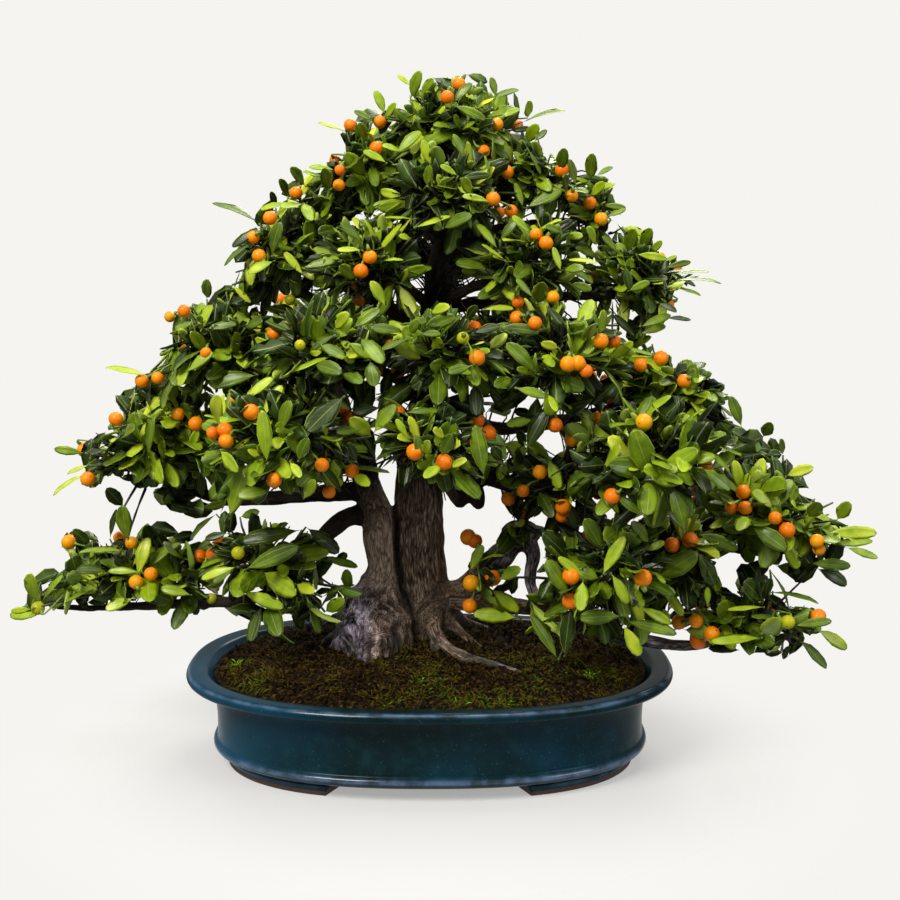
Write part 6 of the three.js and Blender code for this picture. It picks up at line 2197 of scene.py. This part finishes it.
    def twigs(self, shell: Shell, line: np.ndarray, radius: np.ndarray, woody: np.ndarray,
              sides: int) -> None:
        """Adds many thin twigs along curves through three places, (1-t)^2 a + 2 t (1-t) b + t^2 c.

        Args:
            shell: what they are added to.
            line: places a, b and c of each twig.
            radius: radius of each twig at its start, which shrinks to half of it.
            woody: value of the bark at each station, from green, 0, to brown, 1.
            sides: vertices round a twig.
        """
        count, stations = len(line), len(woody)
        t = np.linspace(0, 1, stations)[None, :, None]
        a, b, c = (line[:, index][:, None] for index in range(3))
        curve = (1 - t) ** 2 * a + 2 * t * (1 - t) * b + t ** 2 * c
        tangent = unit(np.gradient(curve, axis=1))
        side = unit(np.cross(tangent, np.array([0.31, 0.52, 0.79])))
        other = np.cross(tangent, side)
        thickness = (radius[:, None] * np.linspace(1, 0.5, stations))[..., None, None]
        rings = curve[:, :, None] + spokes(side, other, sides) * thickness
        points = np.concatenate([rings.reshape(count, -1, 3), curve[:, [0, -1]]], axis=1)
        one = outward(points[0], capped_faces(stations, sides))
        size = stations * sides + 2
        faces = copied_faces(one, size, count)
        values = np.concatenate([np.repeat(woody, sides), woody[[0, -1]]])
        shell.add(points.reshape(-1, 3), faces, 3, woody=np.tile(values, count))

    def shoot_twigs(self, shell: Shell, spray: Spray, tops: np.ndarray, grow: np.ndarray,
                    rng: np.random.Generator) -> None:
        """Adds a twig from the inside of a spray to each of its shoots.

        Args:
            shell: what they are added to.
            spray: the spray.
            tops: tops of the shoots.
            grow: their directions.
            rng: source of random numbers.
        """
        middle, reach = spray.centre, spray.half
        count = len(tops)
        hub = middle + (tops - middle) * rng.uniform(0.05, 0.35, (count, 1)) - UP * reach[2] * 0.18
        bend = hub + (tops - hub) * 0.55 - grow * 9 + rng.normal(0, 3.5, (count, 3))
        self.twigs(shell, np.stack([hub, bend, tops], axis=1), rng.uniform(1.5, 2.2, count),
                   np.array([1, 0.95, 0.8, 0.55, 0.2]), 4)

    def place_spurs(self) -> None:
        """Lets short bare twigs stand out of the upper limbs, square to them, and gives each to a spray."""
        rng = np.random.default_rng(Seed.SPURS)
        skeleton = self.skeleton
        high = np.flatnonzero((skeleton.place[:, 2] > 268) & (skeleton.radius > 2.5))
        chosen = rng.choice(high, self.spurs)
        turn = rng.uniform(0, 2 * np.pi, (self.spurs, 1))
        out = np.cos(turn) * skeleton.side[chosen] + np.sin(turn) * skeleton.other[chosen]
        start = skeleton.place[chosen] + out * skeleton.radius[chosen, None] * 0.7
        way = unit(out + skeleton.tangent[chosen] * rng.uniform(-0.2, 0.9, (self.spurs, 1)) + UP * 0.25)
        end = start + way * rng.uniform(16, 46, (self.spurs, 1))
        bend = (start + end) / 2 + rng.normal(0, 5, (self.spurs, 3))
        kept = self.in_outline(end)
        lines = np.stack([start, bend, end], axis=1)[kept]
        owner = np.linalg.norm((end[kept][:, None] - MIDDLES) / REACHES, axis=2).argmin(1)
        self.spur_lines = {spray.name: lines[owner == index] for index, spray in enumerate(SPRAYS)}

    def thicket(self, shell: Shell, spray: Spray, rng: np.random.Generator) -> None:
        """Adds the tangle of thin, dark, bare twigs that fills the shade inside a spray.

        Args:
            shell: what they are added to.
            spray: the spray.
            rng: source of random numbers.
        """
        middle, reach = spray.centre, spray.half
        count = round(reach.prod() ** (2 / 3) / 62)
        direction = unit(rng.normal(0, 1, (count, 3)))
        start = middle + direction * reach * rng.uniform(0.1, 0.55, (count, 1))
        end = start + (unit(direction + rng.normal(0, 0.6, (count, 3)) + UP * 0.2)
                       * rng.uniform(18, 38, (count, 1)))
        inside = ((end - middle) / reach) ** 2
        end = middle + (end - middle) / np.maximum(np.sqrt(inside.sum(1, keepdims=True)) / 0.8, 1)
        end[:, 2] = np.maximum(end[:, 2], middle[2] - reach[2] * 0.5)
        bend = (start + end) / 2 + rng.normal(0, 6, (count, 3))
        seen = self.in_outline(end) & self.in_outline(start)
        line = np.concatenate([np.stack([start, bend, end], axis=1)[seen], self.spur_lines[spray.name]])
        self.twigs(shell, line, rng.uniform(0.8, 1.6, len(line)), np.ones(4), 3)

    def allowed(self, leaves: Leaves, low: np.ndarray, high: np.ndarray) -> np.ndarray:
        """Which leaves are clear of the bark, of the pot and its soil, and stay in the tree's outline."""
        fine = np.ones(len(leaves.base), bool)
        for share in (0.4, 0.7, 0.95):
            places = leaves.along(share)
            fine &= self.skeleton.clearance(places) > 2.0
            over_pot = OVAL.share(places, -2) < 1
            fine &= ~(over_pot & (places[:, 2] < 104))
            fine &= (places > low).all(1) & (places < high).all(1)
            fine &= self.in_outline(places)
        return fine

    def in_outline(self, places: np.ndarray) -> np.ndarray:
        """Which places are seen inside the tree's outline and outside its see-through gaps."""
        fine = self.viewpoint.within(places, TRIM_LINE)
        for gap in GAPS:
            fine &= ~self.viewpoint.within(places, gap)
        return fine

    def cells(self, points: np.ndarray) -> np.ndarray:
        """Number of the frame's cell in which each place is seen, row by row from the top left corner."""
        column, row = (np.clip(value / self.cell, 0, self.cells_across - 1).astype(int)
                       for value in self.viewpoint.seen_at(points))
        return row * self.cells_across + column

    def covered(self, grown: list[tuple[Leaves, Leaves, np.ndarray, np.ndarray]]) -> np.ndarray:
        """Which cells of the frame leaves, wood or the pot and its soil already fill.

        Args:
            grown: what each spray has grown, of which its outer and inner leaves come first.

        Returns:
            True or false for each cell.
        """
        cover = np.zeros(self.cells_across ** 2, bool)
        eye = self.viewpoint.place()
        wood = self.skeleton
        for angle, share in product(np.arange(0, 2 * math.pi, 0.5), (0, 0.25, 0.5, 0.75, 0.98)):
            offset = (wood.side * math.cos(angle) + wood.other * math.sin(angle)) * share
            cover[self.cells(wood.place + offset * wood.radius[:, None])] = True
        for parts in grown:
            for leaves, stations in zip(parts, ((0.15, 0.3, 0.45, 0.6, 0.75, 0.9), (0.2, 0.5, 0.8))):
                shown = leaves.kept(np.abs((leaves.normal * unit(leaves.base - eye)).sum(1)) > self.edge_on)
                if len(shown.base):
                    cover[self.cells(shown.surface(stations, (-0.9, -0.45, 0.0, 0.45, 0.9))["points"])] = True
        row, column = np.divmod(np.arange(len(cover)), self.cells_across)
        ray = self.viewpoint.ray((column + 0.5) * self.cell, (row + 0.5) * self.cell)
        ground = eye + ray * ((97.0 - eye[2]) / np.minimum(ray[:, 2], -1e-3))[:, None]
        cover |= OVAL.share(ground, -3) < 1
        return cover | ~self.in_outline(eye + ray * 1300)

    def patches(self, cover: np.ndarray, low: np.ndarray, high: np.ndarray,
                fruits: np.ndarray) -> list[Leaves]:
        """Shaded leaves deep in the tree that close its holes, as far as its outline and its gaps allow.

        Each stands in a cell that is still open, where the ray through it runs deepest inside a spray, and
        shows its flat side. Every pass has shorter leaves than the one before.

        Args:
            cover: which cells are filled, brought up to date after each pass.
            low: lowest corner of the box that they may reach.
            high: its highest corner.
            fruits: centres of the fruits, which stay in view.

        Returns:
            Leaves for each spray in turn.
        """
        rng = np.random.default_rng(Seed.PATCH_LEAVES)
        eye = self.viewpoint.place()
        bare = (self.skeleton.radius > self.bare_radius) & (self.skeleton.place[:, 2] < self.bare_height)
        trunks = self.skeleton.place[bare]
        found: list[list[Leaves]] = [[] for _ in SPRAYS]
        for size, share in self.patch_passes:
            free = (~cover).reshape(self.cells_across, -1)
            crowd = sum(np.roll(free, (down, across), (0, 1)).astype(int)
                        for down in (-1, 0, 1) for across in (-1, 0, 1))
            cell = np.flatnonzero((free & (crowd > 3)).ravel() & (rng.random(free.size) < share))
            row, column = np.divmod(cell, self.cells_across)
            count = len(cell)
            ray = self.viewpoint.ray((column + rng.random(count)) * self.cell,
                                     (row + rng.random(count)) * self.cell)
            start, way = (eye - MIDDLES) / REACHES, ray[:, None] / REACHES
            distance = -np.einsum("sk,nsk->ns", start, way) / (way ** 2).sum(2)
            own = np.linalg.norm(start + way * distance[..., None], axis=2).argmin(1)
            middle = eye + ray * (distance[np.arange(count), own] + rng.uniform(-6, 16, count))[:, None]
            angle = rng.uniform(0, 2 * np.pi, count)
            forward = unit(np.column_stack([np.cos(angle), rng.normal(0, 0.3, count), np.sin(angle)]))
            normal = unit(-ray + UP * 0.5 + rng.normal(0, 0.35, (count, 3)))
            length = self.leaf_length * size * rng.uniform(0.85, 1.1, count)
            made = Leaves(middle - forward * length[:, None] / 2, forward, normal, length,
                          length * self.slimness * rng.uniform(0.95, 1.2, count), rng.uniform(0, 0.5, count),
                          np.radians(rng.uniform(2, 14, count)), rng.normal(0, 0.2, count),
                          np.clip(rng.normal(0.24, 0.1, count), 0.05, 0.5))
            fine = (self.allowed(made, low, high) & self.in_outline(made.base)
                    & self.hides_nothing(made, fruits, 6.0, (0.2, 0.5, 0.8))
                    & self.hides_nothing(made, trunks, self.bare_radius, (0.1, 0.4, 0.7, 0.95)))
            made, own = made.kept(fine), own[fine]
            cover[self.cells(made.surface((0.2, 0.4, 0.6, 0.8),
                                          (-0.8, -0.4, 0.0, 0.4, 0.8))["points"])] = True
            for index in range(len(SPRAYS)):
                found[index].append(made.kept(own == index))
        return [functools.reduce(Leaves.with_others, group) for group in found]

    def hides_nothing(self, leaves: Leaves, centres: np.ndarray, miss: float,
                      shares: tuple[float, ...]) -> np.ndarray:
        """Which leaves don't stand between the camera and any of some places.

        Args:
            leaves: the leaves.
            centres: the places, one a row.
            miss: how far from the line of sight a leaf must pass.
            shares: which places along a leaf are tested.

        Returns:
            True or false for each leaf.
        """
        sight = unit(self.viewpoint.place() - centres)
        fine = np.ones(len(leaves.base), bool)
        for share in shares:
            offset = leaves.along(share)[:, None] - centres[None]
            ahead = np.einsum("ijk,jk->ij", offset, sight)
            away = np.linalg.norm(offset - ahead[..., None] * sight[None], axis=2)
            fine &= ~((ahead > -2) & (ahead < 200) & (away < miss)).any(1)
        return fine

    def grow(self, spray: Spray, index: int, box: tuple[np.ndarray, np.ndarray], fruits: np.ndarray,
             whole: np.ndarray) -> tuple[Leaves, Leaves, np.ndarray, np.ndarray]:
        """Grows one spray's leaves, apart from those that close its holes.

        Args:
            spray: the spray.
            index: its number.
            box: lowest and highest corner that its leaves may reach.
            fruits: centres of the fruits, which stay in view.
            whole: places on the leaves that are seen whole, which stay in view too.

        Returns:
            Its outer and its inner leaves, and the tops and directions of its shoots.
        """
        low, high = box
        rng = np.random.default_rng(Seed.SHOOTS + index)
        tops, grow = self.shoots(spray, rng)
        tip_tops, tip_grow = self.tip_leaves(spray)
        marks = self.marked[spray.name]
        number = [self.leaves_on_shoot] * (len(tops) + len(tip_tops)) + [mark[2] for mark in marks]
        tops = np.concatenate([tops, tip_tops, *[mark[0][None] for mark in marks]])
        grow = np.concatenate([grow, tip_grow, *[mark[1][None] for mark in marks]])
        outer, owner = self.rosettes(tops, grow, np.array(number), rng)
        # Painted light and shade: leaves high in a spray are paler and low ones darker.
        height = (outer.base[:, 2] - spray.middle[2]) / spray.reach[2]
        outer.tint = np.clip(outer.tint + 0.16 * height, 0.03, 1)
        fine = (self.allowed(outer, low - 6, high + 6)
                & self.hides_nothing(outer, fruits, 7.0, (0.25, 0.5, 0.75, 0.95))
                & self.hides_nothing(outer, whole, 5.0, (0.35, 0.6, 0.85)))
        outer = outer.kept(fine)
        leafy = np.bincount(owner[fine], minlength=len(tops)) > 1
        tops, grow = tops[leafy], grow[leafy]
        if spray.name in self.whole:
            seen = self.whole[spray.name]
            outer = outer.with_others(seen)
            tops = np.concatenate([tops, seen.base])
            grow = np.concatenate([grow, seen.forward * 0])
        inner = self.inner_leaves(spray, rng)
        return outer, inner.kept(self.allowed(inner, low, high)), tops, grow

    def dressed(self, spray: Spray, index: int, groups: tuple[Leaves, ...], tops: np.ndarray,
                grow: np.ndarray) -> Shell:
        """Gathers all of one spray.

        Args:
            spray: the spray.
            index: its number.
            groups: its outer, inner and patch leaves.
            tops: tops of its shoots.
            grow: their directions.

        Returns:
            Its leaves, twigs and fruits.
        """
        rng = np.random.default_rng(Seed.TWIGS + index)
        shell = Shell()
        for leaves, (stations, spread) in zip(groups, self.grids):
            if len(leaves.base):
                shell.add(**leaves.surface(stations, spread))
        self.shoot_twigs(shell, spray, tops, grow, rng)
        self.thicket(shell, spray, rng)
        self.fruit_shell(shell, spray)
        return shell

    def build(self) -> None:
        """Makes one piece for each spray."""
        skins = [kind().material() for kind in (LeafSkin, LeafUnderside, FruitSkin, TwigBark)]
        self.place_fruits()
        self.place_shoots()
        self.place_leaves()
        self.place_spurs()
        fruits = np.array([place for group in self.fruits.values() for place, _ in group
                           if place[1] < self.front_depth])
        whole = np.concatenate([leaves.along(share)
                                for leaves in self.whole.values() for share in (0.45, 0.75)])
        box = tuple(np.array(corner) / MM for corner in CAD_BOX)
        grown = [self.grow(spray, index, box, fruits, whole) for index, spray in enumerate(SPRAYS)]
        patches = self.patches(self.covered(grown), *box, fruits)
        for index, (spray, patch, (outer, inner, tops, grow)) in enumerate(zip(SPRAYS, patches, grown)):
            shell = self.dressed(spray, index, (outer, inner, patch), tops, grow)
            seat(shell.piece("leafy_" + spray.name, skins), "foliage", "spray_" + spray.name)
            log.info("%s: %d outer, %d inner and %d patch leaves, %d fruits", spray.name, len(outer.base),
                     len(inner.base), len(patch.base), len(self.fruits[spray.name]))


def main() -> None:
    """Builds the studio, the pot, the ground, the wood and the foliage."""
    logging.basicConfig(level=logging.INFO, format="%(name)s %(message)s")
    viewpoint = Viewpoint()
    viewpoint.build()
    Studio().build()
    skeleton = Skeleton()
    Pot().build()
    ground = Ground()
    ground.mound()
    ground.moss(skeleton)
    Wood(skeleton).build()
    Foliage(skeleton, viewpoint).build()


if __name__ == "__main__":
    main()
